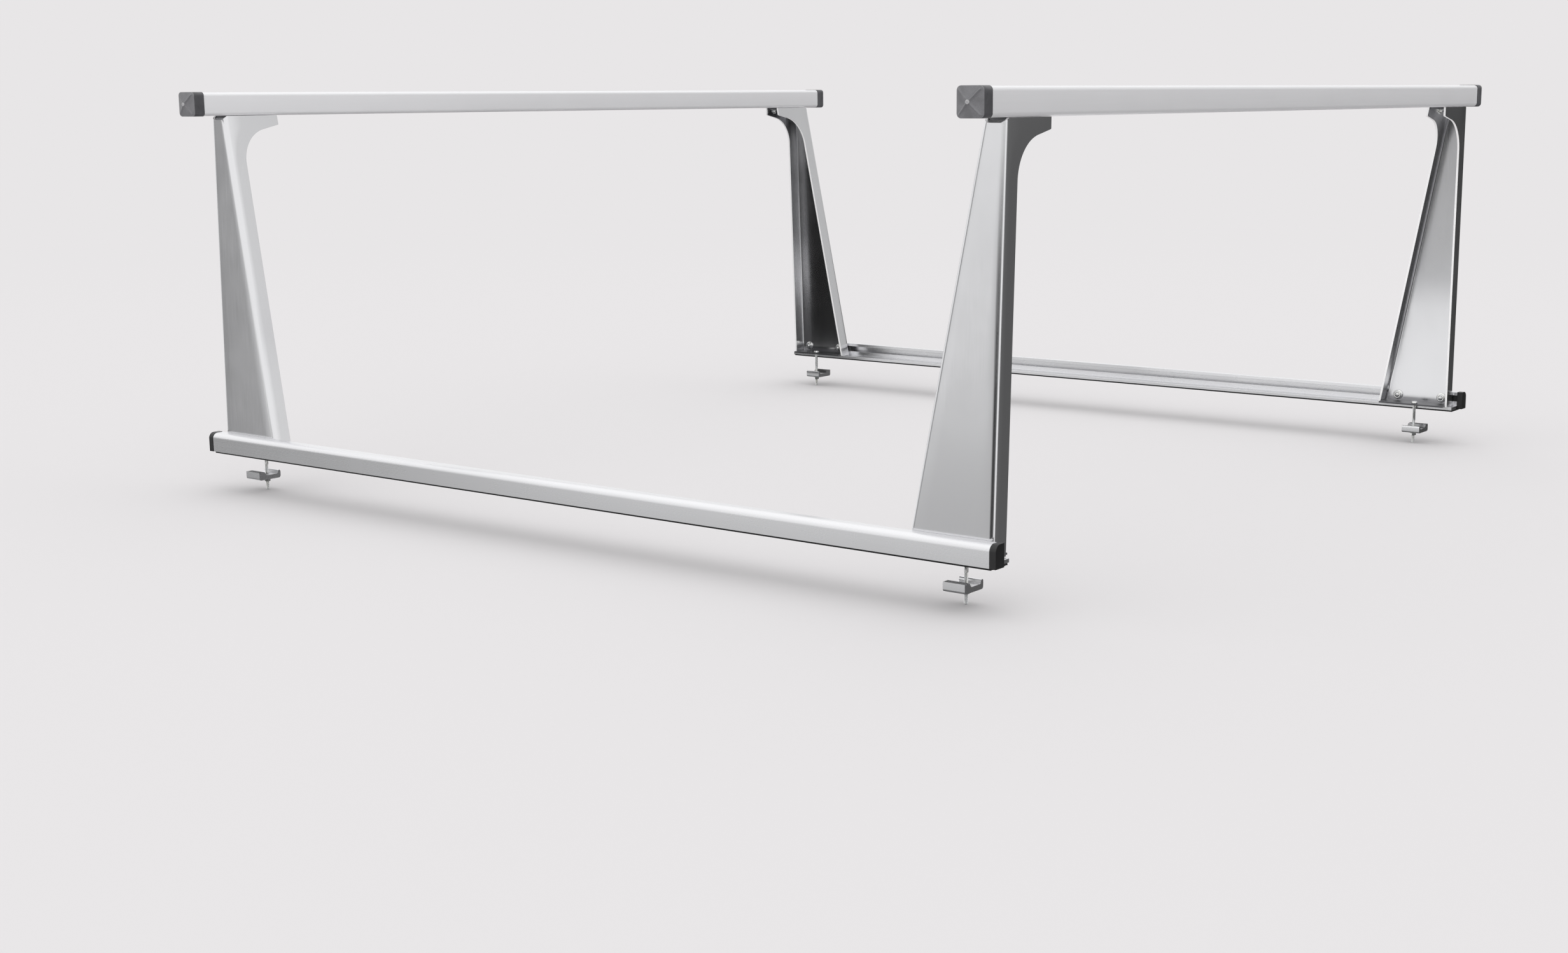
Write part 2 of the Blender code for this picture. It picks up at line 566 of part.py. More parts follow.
def make_clamp_jaw():
    """J-shaped jaw. Its nose goes up under the bed side's lip and its heel stands inboard."""
    back = CLAMP_X - JAW_BACK
    tip = CLAMP_X + JAW_REACH
    rise = JAW_TOP + JAW_LIFT
    outline = [(back, JAW_BOTTOM), (tip, JAW_BOTTOM), (tip, rise), (tip - JAW_NOSE, rise),
               (tip - JAW_NOSE - JAW_LIFT / 2, JAW_TOP), (back + JAW_HEEL, JAW_TOP),
               (back + JAW_HEEL, rise), (back, rise)]
    jaw = prism("Y", CLAMP_Y - JAW_LENGTH / 2, CLAMP_Y + JAW_LENGTH / 2, outline)
    hole = cylinder("Z", (CLAMP_X, CLAMP_Y, 0), CLAMP_BOLT_RADIUS + BOLT_CLEARANCE,
                    JAW_BOTTOM - JAW_BASE, JAW_TOP + JAW_BASE, 16)
    return combine(jaw, "DIFFERENCE", hole)


def make_clamp_nut():
    top = JAW_BOTTOM - GAP
    return make_nut("Z", (CLAMP_X, CLAMP_Y, 0), top - CLAMP_NUT_HEIGHT, top, CLAMP_NUT_ACROSS_FLATS,
                    CLAMP_NUT_FLANGE_RADIUS, CLAMP_BOLT_RADIUS + BOLT_CLEARANCE)


def corner_piece(solid, origin, finish):
    """What add_corner_part needs for a piece that repeats in every corner."""
    return finished(solid, origin), origin, finish


# The pieces that repeat in every corner, modelled at the front right one
UPRIGHT_AT = (TRACK / 2, BAR_Y, RAIL_TOP)
BAR_BOLT_AT = (BAR_BOLT_X, BAR_Y, BAR_BOTTOM)
BAR_CAP_AT = (BAR_LENGTH / 2, BAR_Y, BAR_BOTTOM)
FOOT_AT = (RAIL_WALL_X, END_FOOT_Y, SLOT_MIDDLE)
CLAMP_AT = (CLAMP_X, CLAMP_Y, JAW_TOP)
hoop_pieces = {
    "upright": corner_piece(make_upright(), UPRIGHT_AT, ALUMINIUM),
    "top_plate": corner_piece(make_top_plate(), BAR_BOLT_AT, ALUMINIUM),
    "crossbar_bolt": corner_piece(make_bar_bolt(), BAR_BOLT_AT, STEEL),
    "crossbar_nut": corner_piece(make_bar_nut(), BAR_BOLT_AT, STEEL),
    "foot_plate": corner_piece(make_foot_plate(), CLAMP_AT, ALUMINIUM),
    "foot_stud_bar": corner_piece(make_stud_bar(), FOOT_AT, STEEL),
    "foot_nut_outer": corner_piece(make_foot_nut(STUD_Y[0]), FOOT_AT, STEEL),
    "foot_nut_inner": corner_piece(make_foot_nut(STUD_Y[1]), FOOT_AT, STEEL),
    "clamp_bolt": corner_piece(make_clamp_bolt(), CLAMP_AT, STEEL),
    "crossbar_cap": corner_piece(make_bar_cap(), BAR_CAP_AT, GREY_PLASTIC),
}
jaw_pieces = {
    "clamp_jaw": corner_piece(make_clamp_jaw(), CLAMP_AT, ALUMINIUM),
    "clamp_nut": corner_piece(make_clamp_nut(), CLAMP_AT, STEEL),
}

# The rails, which stay put
rail_mesh = finished(make_rail(), (RAIL_WALL_X, 0, SEAL_THICKNESS))
seal_mesh = finished(make_seal(), (RAIL_WALL_X, 0, 0))
rail_cap_mesh = finished(make_rail_cap(), (RAIL_WALL_X, RAIL_LENGTH / 2, SEAL_THICKNESS))
SIDES = {"left": -1, "right": 1}
ENDS = {"front": 1, "rear": -1}
for side_name, side in SIDES.items():
    add_corner_part(f"rail_{side_name}", rail_mesh, (RAIL_WALL_X, 0, SEAL_THICKNESS), ALUMINIUM, side, 1)
    add_corner_part(f"rail_seal_{side_name}", seal_mesh, (RAIL_WALL_X, 0, 0), RUBBER, side, 1)
    for end_name, end in ENDS.items():
        add_corner_part(f"rail_cap_{end_name}_{side_name}", rail_cap_mesh,
                        (RAIL_WALL_X, RAIL_LENGTH / 2, SEAL_THICKNESS), BLACK_PLASTIC, side, end)

# The two hoops, each on an empty that slides along Y, and the jaws, which slide along Z under them
bar_mesh = finished(make_crossbar(), (0, BAR_Y, BAR_BOTTOM))
for end_name, end in ENDS.items():
    hoop = empty(f"{end_name}_hoop", (0, BAR_Y * end, RAIL_TOP))
    add_part(f"crossbar_{end_name}", bar_mesh.copy(), (0, BAR_Y * end, BAR_BOTTOM), ALUMINIUM, hoop)
    for side_name, side in SIDES.items():
        corner = f"{end_name}_{side_name}"
        for name, (mesh, origin, finish) in hoop_pieces.items():
            add_corner_part(f"{name}_{corner}", mesh, origin, finish, side, end, hoop)
        jaw = empty(f"clamp_{corner}", (CLAMP_X * side, CLAMP_Y * end, JAW_TOP), hoop)
        for name, (mesh, origin, finish) in jaw_pieces.items():
            add_corner_part(f"{name}_{corner}", mesh, origin, finish, side, end, jaw)
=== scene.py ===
"""The looks of an over-bed pickup rack: two aluminium hoops that slide on two T-slot side rails.

X points to the passenger side, Y to the cab and Z up, in metres. A piece that repeats in every corner
is modelled at the front right one.
"""
import json
import math

import bmesh
import bpy
from mathutils import Matrix, Vector


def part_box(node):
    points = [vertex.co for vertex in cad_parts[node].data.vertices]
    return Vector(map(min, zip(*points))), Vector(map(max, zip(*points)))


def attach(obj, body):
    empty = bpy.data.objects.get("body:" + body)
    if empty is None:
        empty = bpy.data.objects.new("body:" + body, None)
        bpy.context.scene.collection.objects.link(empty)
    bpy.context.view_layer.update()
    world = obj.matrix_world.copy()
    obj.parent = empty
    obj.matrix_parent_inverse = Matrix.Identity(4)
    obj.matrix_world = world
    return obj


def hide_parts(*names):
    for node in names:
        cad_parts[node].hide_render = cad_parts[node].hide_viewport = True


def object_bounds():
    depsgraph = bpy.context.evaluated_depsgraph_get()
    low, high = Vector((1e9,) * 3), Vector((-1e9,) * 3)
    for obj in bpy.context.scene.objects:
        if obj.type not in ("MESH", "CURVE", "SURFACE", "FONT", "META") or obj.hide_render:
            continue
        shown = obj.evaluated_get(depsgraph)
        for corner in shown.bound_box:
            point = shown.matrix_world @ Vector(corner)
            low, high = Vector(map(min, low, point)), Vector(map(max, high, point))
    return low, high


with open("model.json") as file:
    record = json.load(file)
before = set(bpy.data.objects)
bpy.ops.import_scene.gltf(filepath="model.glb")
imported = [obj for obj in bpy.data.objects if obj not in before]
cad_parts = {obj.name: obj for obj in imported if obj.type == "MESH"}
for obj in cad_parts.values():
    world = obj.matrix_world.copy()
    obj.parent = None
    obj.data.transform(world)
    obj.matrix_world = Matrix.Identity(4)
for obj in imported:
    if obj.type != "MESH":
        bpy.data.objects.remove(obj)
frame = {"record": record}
cad_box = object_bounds()

# ---------------------------------------------------------------- The studio
# A pale floor and pale walls, lit from overhead and from the driver's side, and dim behind the rack,
# which shades flat metal from face to face. A white card between the rails' rear halves and a
# one-sided black one by the front right upright, where a cab would be, show only in the metal.

CAMERA_PLACE = Vector((-3.149, -2.2587, 0.6238))
CAMERA_YAW = math.radians(53.565)      # from +Y towards +X
CAMERA_PITCH = math.radians(-10.624)
CAMERA_ROLL = math.radians(-0.349)
CAMERA_FOCAL = 1.32554                 # focal length as a share of the picture's width
SENSOR = 36.0
CAMERA_SHIFT = (-0.0376, 0.0046)
ROOM_TONE = "#e8e6e7"


def linear(colour):
    """An sRGB hex colour as linear RGBA."""
    parts = [int(colour[place:place + 2], 16) / 255 for place in (1, 3, 5)]
    return (*(c / 12.92 if c <= 0.04045 else ((c + 0.055) / 1.055) ** 2.4 for c in parts), 1.0)


def add(tree, kind, settings=(), links=()):
    """Adds a shader node. settings are its properties or its inputs' values, and links feed its inputs."""
    made = tree.nodes.new("ShaderNode" + kind)
    for name, value in dict(settings).items():
        if isinstance(name, str) and hasattr(made, name):
            setattr(made, name, value)
        else:
            made.inputs[name].default_value = value
    for name, socket in dict(links).items():
        tree.links.new(socket, made.inputs[name])
    return made


yaw_axis = Vector((math.sin(CAMERA_YAW), math.cos(CAMERA_YAW), 0))
forward = yaw_axis * math.cos(CAMERA_PITCH) + Vector((0, 0, math.sin(CAMERA_PITCH)))
level = Vector((math.cos(CAMERA_YAW), -math.sin(CAMERA_YAW), 0))
upward = level.cross(forward)
picture_right = level * math.cos(CAMERA_ROLL) + upward * math.sin(CAMERA_ROLL)
picture_up = upward * math.cos(CAMERA_ROLL) - level * math.sin(CAMERA_ROLL)
camera = bpy.data.objects.new("camera", bpy.data.cameras.new("camera"))
bpy.context.scene.collection.objects.link(camera)
turn = Matrix((picture_right, picture_up, -forward)).transposed().to_4x4()
camera.matrix_world = Matrix.Translation(CAMERA_PLACE) @ turn
camera.data.sensor_width = SENSOR
camera.data.lens = CAMERA_FOCAL * SENSOR
camera.data.shift_x, camera.data.shift_y = CAMERA_SHIFT
bpy.context.scene.camera = camera
bpy.context.scene.view_settings.view_transform = "Standard"

# The room's brightness by direction. It is brightest overhead, even down to the horizon, and dim under
# it. Each patch has its azimuth from +X, its elevation, its half width and soft edge in degrees, its
# brightness, and the sines of the elevations between which it gives way to what is above it.
OVERHEAD, SKY, GROUND = 1.22, 1.03, 0.15
HORIZON = (-0.045, 0.02)
HIGH_UP = (0.35, 0.80)
ROOM_PATCHES = (
    (-30, 17, 14, 14, 0.58, (0.45, 0.60)),      # behind the tailgate, over the horizon
    (-40, -8, 68, 20, 0.13, (0.02, 0.11)),      # dim floor on the tailgate's side
    (-14, -6, 8, 10, 0.05, (0.04, 0.12)),       # its darkest part
    (-162, -14, 22, 12, 0.05, (-0.06, 0.02)),   # the dark that the channels' insides pick up
    (-100, -5, 12, 10, 1.05, (0.10, 0.20)),     # a light that the folds catch
    (82, -8, 26, 8, 0.95, (0.0, 0.05)),         # pale ground beyond the cab
    (150, -8, 20, 10, 0.56, (-0.13, -0.03)),    # pale ground on the driver's side
    (144, -5, 8, 6, 0.92, (0.03, 0.06)),        # a light patch at its horizon
    (145, -13, 13, 5, 0.54, (-0.15, -0.08)),    # the duller ground in front of it
    (124, 0, 7, 7, 0.31, (0.10, 0.30)),         # the cab's side
)


def towards(azimuth, elevation):
    azimuth, elevation = math.radians(azimuth), math.radians(elevation)
    return (math.cos(azimuth) * math.cos(elevation), math.sin(azimuth) * math.cos(elevation),
            math.sin(elevation))


world = bpy.data.worlds.new("studio")
world.use_nodes = True
bpy.context.scene.world = world
room = world.node_tree
room.nodes.clear()
direction = add(room, "TexCoord").outputs["Generated"]
rise = add(room, "SeparateXYZ", links={"Vector": direction}).outputs["Z"]
brightness = add(room, "MapRange", {"interpolation_type": "SMOOTHSTEP", "From Min": HIGH_UP[0],
                                    "From Max": HIGH_UP[1], "To Min": SKY, "To Max": OVERHEAD},
                 {"Value": rise}).outputs[0]
below = add(room, "MapRange", {"interpolation_type": "SMOOTHSTEP", "From Min": HORIZON[1],
                               "From Max": HORIZON[0]}, {"Value": rise}).outputs[0]
brightness = add(room, "Mix", {3: GROUND}, {0: below, 2: brightness}).outputs[0]
for azimuth, elevation, width, edge, value, (full, gone) in ROOM_PATCHES:
    near = add(room, "VectorMath", {"operation": "DOT_PRODUCT", 1: towards(azimuth, elevation)},
               {0: direction}).outputs["Value"]
    share = add(room, "MapRange", {"interpolation_type": "SMOOTHSTEP",
                                   "From Min": math.cos(math.radians(width + edge)),
                                   "From Max": math.cos(math.radians(width))}, {"Value": near}).outputs[0]
    under = add(room, "MapRange", {"interpolation_type": "SMOOTHSTEP", "From Min": gone,
                                   "From Max": full}, {"Value": rise}).outputs[0]
    both = add(room, "Math", {"operation": "MULTIPLY"}, {0: share, 1: under}).outputs[0]
    brightness = add(room, "Mix", {3: value}, {0: both, 2: brightness}).outputs[0]
wall = add(room, "Background", {"Color": linear(ROOM_TONE)})
lighting = add(room, "Background", {"Color": (1, 1, 1, 1)}, {"Strength": brightness})
camera_ray = add(room, "LightPath").outputs["Is Camera Ray"]
shown = add(room, "MixShader", links={0: camera_ray, 1: lighting.outputs[0], 2: wall.outputs[0]})
add(room, "OutputWorld", links={"Surface": shown.outputs[0]})

FLOOR_SIZE = 24.0
FLOOR_TONE = "#dcdadb"
FLOOR_FADE = (2.5, 7.0)        # where the floor runs into the wall's tone, from the middle
BED_CARD = (0.76, -0.78, -0.05, 0.004)   # half width, low and high Y, height
CAB_CARD = (0.55, 0.80, 1.30, -0.05, 0.56)   # X, low and high Y, low and high Z
BED_GLOW = 1.0
CAB_GLOW = 0.012


def studio_card(name, corners, finish, in_metal_only=True):
    """A flat card of the studio. It isn't part of the object."""
    card = bpy.data.objects.new(name, bpy.data.meshes.new(name))
    card.data.from_pydata([Vector(corner) for corner in corners], [], [(0, 1, 2, 3)])
    card.data.materials.append(finish)
    bpy.context.scene.collection.objects.link(card)
    card.visible_glossy = in_metal_only
    if in_metal_only:
        card.visible_camera = card.visible_diffuse = card.visible_shadow = False
        card.visible_transmission = False


def new_material(name):
    """An empty material's node tree with its output, and the material."""
    finish = bpy.data.materials.new(name)
    finish.use_nodes = True
    finish.node_tree.nodes.clear()
    return finish, finish.node_tree


# Matt floor paint, which runs into the wall's own tone far from the rack, so that no horizon shows
floor_paint, tree = new_material("matt_floor_paint")
here = add(tree, "TexCoord").outputs["Object"]
away = add(tree, "VectorMath", {"operation": "LENGTH"}, {0: here}).outputs["Value"]
fade = add(tree, "MapRange", {"interpolation_type": "SMOOTHSTEP", "From Min": FLOOR_FADE[0],
                              "From Max": FLOOR_FADE[1]}, {"Value": away}).outputs[0]
near_floor = add(tree, "BsdfDiffuse", {"Color": linear(FLOOR_TONE)}).outputs[0]
far_floor = add(tree, "Emission", {"Color": linear(ROOM_TONE)}).outputs[0]
mixed = add(tree, "MixShader", links={0: fade, 1: near_floor, 2: far_floor}).outputs[0]
add(tree, "OutputMaterial", links={"Surface": mixed})
card_white, tree = new_material("white_card")
add(tree, "OutputMaterial", links={"Surface": add(tree, "Emission", {"Strength": BED_GLOW}).outputs[0]})
card_black, tree = new_material("one_sided_black_card")
far_side = add(tree, "NewGeometry").outputs["Backfacing"]
seen = add(tree, "MixShader", links={0: far_side, 1: add(tree, "Emission", {"Strength": CAB_GLOW}).outputs[0],
                                     2: add(tree, "BsdfTransparent").outputs[0]})
add(tree, "OutputMaterial", links={"Surface": seen.outputs[0]})

half, ground = FLOOR_SIZE / 2, cad_box[0].z
studio_card("floor", [(-half, -half, ground), (half, -half, ground), (half, half, ground),
                      (-half, half, ground)], floor_paint, in_metal_only=False)
x, back, front, z = BED_CARD
studio_card("bed_card", [(-x, back, z), (x, back, z), (x, front, z), (-x, front, z)], card_white)
x, back, front, low, high = CAB_CARD
studio_card("cab_card", [(x, back, low), (x, front, low), (x, front, high), (x, back, high)], card_black)

# ---------------------------------------------------------------- Crossbars
# Square aluminium tube with rounded edges, a hollow and a T-slot along its underside. It is extruded,
# linished along its length and clear anodised to a satin finish.

BAR_WALL = 0.003
BAR_CORNER = 0.0064
BAR_SLOT_WIDTH = 0.009
BAR_CAVITY = (0.018, 0.007)     # width and height
EDGE_BREAK = 0.0003             # how much a cut or extruded edge is rounded off
CORNERS = {f"{end_name}_{side_name}": (side, end) for end_name, end in (("front", 1), ("rear", -1))
           for side_name, side in (("left", -1), ("right", 1))}
BODY_OF = {node: body for body, nodes in frame["record"]["behaviour"]["bodies"].items() for node in nodes}


def arc(centre, radius, start, end, steps):
    """Points on an arc, from start to end in degrees."""
    turns = [math.radians(start + (end - start) * step / steps) for step in range(steps + 1)]
    return [(centre[0] + radius * math.cos(turn), centre[1] + radius * math.sin(turn)) for turn in turns]


CORNER_STEPS = 8


def rounded_box(low, high, radius, steps=CORNER_STEPS, along=1):
    """Outline of a box with rounded corners, anticlockwise from its right side's top, with along
    points on each straight side."""
    middles = [(high[0] - radius, high[1] - radius), (low[0] + radius, high[1] - radius),
               (low[0] + radius, low[1] + radius), (high[0] - radius, low[1] + radius)]
    points = []
    for number, middle in enumerate(middles):
        corner = arc(middle, radius, 90 * number, 90 * number + 90, steps)
        if points:
            points += between(points[-1], corner[0], along)
        points += corner
    return points + between(points[-1], points[0], along)


def between(start, end, pieces):
    """The points that cut a line into that many pieces, without its ends."""
    return [tuple(a + (b - a) * step / pieces for a, b in zip(start, end)) for step in range(1, pieces)]


def extrusion(axis, low, high, outline, *holes):
    """A flat outline, with any holes in it, drawn out from low to high along a world axis."""
    place = {"X": lambda u, v, w: (w, u, v), "Y": lambda u, v, w: (u, w, v), "Z": lambda u, v, w: (u, v, w)}
    shape = bmesh.new()
    ends = ([], [])
    for loop in (outline, *holes):
        rows = [[shape.verts.new(place[axis](u, v, w)) for u, v in loop] for w in (low, high)]
        for at in range(len(loop)):
            shape.faces.new((rows[0][at - 1], rows[0][at], rows[1][at], rows[1][at - 1]))
            for end, row in zip(ends, rows):
                end.append(shape.edges.get((row[at - 1], row[at])))
    for end in ends:
        bmesh.ops.triangle_fill(shape, use_beauty=True, edges=end)
    bmesh.ops.recalc_face_normals(shape, faces=shape.faces)
    return shape


def skin(rings, closed=False):
    """A skin over rings of points, with flat ends, or with its last ring joined to its first."""
    shape = bmesh.new()
    rows = [[shape.verts.new(point) for point in ring] for ring in rings]
    for near, far in zip(rows, rows[1:] + rows[:1] if closed else rows[1:]):
        for at in range(len(near)):
            shape.faces.new((near[at - 1], near[at], far[at], far[at - 1]))
    if not closed:
        shape.faces.new(rows[0])
        shape.faces.new(rows[-1])
    bmesh.ops.recalc_face_normals(shape, faces=shape.faces)
    return shape


def hidden_object(mesh):
    carrier = bpy.data.objects.new("work", mesh)
    bpy.context.scene.collection.objects.link(carrier)
    return carrier


def finished(shape, rounding=EDGE_BREAK, sharp=35, drills=()):
    """The shape as a smooth-shaded mesh, with its holes drilled and its sharp edges rounded off."""
    mesh = bpy.data.meshes.new("piece")
    shape.to_mesh(mesh)
    shape.free()
    mesh.shade_smooth()
    work = hidden_object(mesh)
    tools = []
    for centre, axis, radius in drills:
        cutter = turned([(radius, -0.02), (radius, 0.02)], around=32)
        turn_to(cutter, centre, axis)
        tool_mesh = bpy.data.meshes.new("drill")
        cutter.to_mesh(tool_mesh)
        cutter.free()
        tools.append(hidden_object(tool_mesh))
        step = work.modifiers.new("drill", "BOOLEAN")
        step.operation, step.solver, step.object = "DIFFERENCE", "EXACT", tools[-1]
    step = work.modifiers.new("rounding", "BEVEL")
    step.width, step.segments, step.limit_method = rounding, 2, "ANGLE"
    step.angle_limit, step.harden_normals = math.radians(sharp), True
    bpy.context.view_layer.update()
    result = bpy.data.meshes.new_from_object(work.evaluated_get(bpy.context.evaluated_depsgraph_get()))
    for used in (work, *tools):
        bpy.data.objects.remove(used, do_unlink=True)
    return result


def turned(rows, around=32, closed=False):
    """Rings about the Z axis. A row is (radius, height), and its radius may depend on the angle."""
    turns = [2 * math.pi * step / around for step in range(around)]
    return skin([[((radius(turn) if callable(radius) else radius) * math.cos(turn),
                   (radius(turn) if callable(radius) else radius) * math.sin(turn), height)
                  for turn in turns] for radius, height in rows], closed)


def turn_to(shape, centre, axis):
    """Turns a shape from about the Z axis to about another, and moves it to its centre."""
    turn = {"X": Matrix.Rotation(math.pi / 2, 4, "Y"), "Y": Matrix.Rotation(-math.pi / 2, 4, "X"),
            "Z": Matrix.Identity(4)}[axis]
    shape.transform(Matrix.Translation(centre) @ turn)
    return shape


def brush_map(mesh, brushings):
    """UVs with U across the brushing and V along it, which turn the metal's streaks of light. There is
    one brushing direction for each of the mesh's materials."""
    layer = mesh.uv_layers.new(name="brush")
    for face in mesh.polygons:
        along = Vector(brushings[face.material_index])
        across = along.cross(face.normal)
        if across.length < 0.2:          # a face that the brushing meets end on
            across = along.orthogonal()
        upon = across.normalized()
        for loop in face.loop_indices:
            point = mesh.vertices[mesh.loops[loop].vertex_index].co
            layer.data[loop].uv = (point.dot(upon), point.dot(face.normal.cross(upon)))


def place(node, mesh, *finishes):
    """Puts a made piece in place of a CAD node, on the same body. A finish is a
    material and the direction of its brushing."""
    piece = bpy.data.objects.new(node + ".made", mesh)
    bpy.context.scene.collection.objects.link(piece)
    for finish, _ in finishes:
        mesh.materials.append(finish)
    brush_map(mesh, [brushing for _, brushing in finishes])
    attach(piece, BODY_OF[node])
    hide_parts(node)


def in_corners(name, make, *finishes, **edges):
    """Places a piece, made at the front right corner, in all four corners."""
    for corner, (side, end) in CORNERS.items():
        shape = make()
        shape.transform(Matrix.Diagonal((side, end, 1, 1)))
        if side * end < 0:
            bmesh.ops.reverse_faces(shape, faces=shape.faces)
        drills = [((at[0] * side, at[1] * end, at[2]), axis, radius)
                  for at, axis, radius in edges.get("drills", ())]
        place(f"{name}_{corner}", finished(shape, **{**edges, "drills": drills}), *finishes)


def brushed_aluminium(name, along, tone, roughness, metallic=1.0):
    """Satin anodised aluminium, linished along one world axis. It gives the eye soft reflections drawn
    out across the fine lines, a few lines that are lighter or duller, and a faint cloudiness."""
    finish, tree = new_material(name)
    spot = add(tree, "TexCoord").outputs["Object"]
    line = 1000 / LINE_SPACING
    stretch = [line if axis != along else line / LINE_LENGTH for axis in "XYZ"]
    lined = add(tree, "Mapping", {"Scale": stretch}, {"Vector": spot}).outputs[0]
    fine = add(tree, "TexNoise", {"Scale": 1.0, "Detail": 3.0, "Roughness": 0.6},
               {"Vector": lined}).outputs[0]
    cloud = add(tree, "TexNoise", {"Scale": 1000 / CLOUD_SIZE, "Detail": 2.0}, {"Vector": spot}).outputs[0]
    pale = [channel * 1.018 for channel in linear(tone)[:3]] + [1]
    dark = [channel * 0.982 for channel in linear(tone)[:3]] + [1]
    colour = add(tree, "Mix", {"data_type": "RGBA", 6: dark, 7: pale}, {0: fine}).outputs[2]
    dull = add(tree, "MapRange", {"From Min": 0.3, "From Max": 0.7, "To Min": roughness - 0.02,
                                  "To Max": roughness + 0.02}, {"Value": fine}).outputs[0]
    hazy = add(tree, "MapRange", {"From Min": 0.35, "From Max": 0.65, "To Min": -0.015, "To Max": 0.015},
               {"Value": cloud}).outputs[0]
    rough = add(tree, "Math", {"operation": "ADD"}, {0: dull, 1: hazy}).outputs[0]
    grain = add(tree, "Bump", {"Strength": LINE_RELIEF, "Distance": RELIEF_DEPTH},
                {"Height": fine}).outputs[0]
    across = add(tree, "Tangent", {"direction_type": "UV_MAP", "uv_map": "brush"}).outputs[0]
    metal = add(tree, "BsdfPrincipled", {"Metallic": metallic, "Anisotropic": BRUSH_SPREAD},
                {"Base Color": colour, "Roughness": rough, "Normal": grain, "Tangent": across})
    add(tree, "OutputMaterial", links={"Surface": metal.outputs[0]})
    return finish


ALONG_X, ALONG_Y, ALONG_Z = (1, 0, 0), (0, 1, 0), (0, 0, 1)
LINE_SPACING = 1.6      # mm. The real lines are 0.1 to 0.3 mm apart, too fine to show
LINE_LENGTH = 90        # how much longer a line is than its spacing
LINE_RELIEF = 0.012     # the lines' share of the relief's depth
RELIEF_DEPTH = 0.0002
CLOUD_SIZE = 70         # mm
BRUSH_SPREAD = 0.7
bar_metal = brushed_aluminium("anodised_aluminium_crossbar", "X", "#f0f0f2", 0.40, metallic=0.45)


def crossbar(end):
    low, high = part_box("crossbar_" + end)
    middle = (low.y + high.y) / 2
    roof, floor = low.z + BAR_WALL + BAR_CAVITY[1], low.z + BAR_WALL
    outline = rounded_box((low.y, low.z), (high.y, high.z), BAR_CORNER)
    lips = [(BAR_SLOT_WIDTH / 2, low.z), (BAR_SLOT_WIDTH / 2, floor), (BAR_CAVITY[0] / 2, floor),
            (BAR_CAVITY[0] / 2, roof)]
    slot = [(middle - y, z) for y, z in lips] + [(middle + y, z) for y, z in reversed(lips)]
    underside = 3 * (CORNER_STEPS + 1)       # the outline's point where the left lower corner ends
    hollow = rounded_box((low.y + BAR_WALL, roof + BAR_WALL), (high.y - BAR_WALL, high.z - BAR_WALL),
                         BAR_WALL / 2, 4)
    return extrusion("X", low.x, high.x, outline[:underside] + slot + outline[underside:], hollow)


for end in ("front", "rear"):
    place("crossbar_" + end, finished(crossbar(end), rounding=0.0007), (bar_metal, ALONG_X))

# ---------------------------------------------------------------- Crossbar end caps
# Grey nylon caps, pushed into the crossbar's ends. The grained face is a shallow pyramid with a rib
# along each diagonal. The sleeve round it is smoother, and darker by painted shade, and the round nub
# on its point is polished, and paler by a painted highlight.

CAP_EDGE = 0.0016        # rounding between the sleeve and the face
CAP_MOUTH = 0.0004
CAP_SLEEVE = 0.022
CAP_PLUG = 0.015
CAP_PROUD = 0.0008
PYRAMID = 0.005
NUB = (0.0029, 0.0072)   # radius, and height over the edge of the face
RIB = (0.0017, 0.0015)   # half width and height
NUB_RISE = 0.0016        # of the nub's top that has the nub's painted highlight
FIT = 0.0003             # left between two pieces that touch


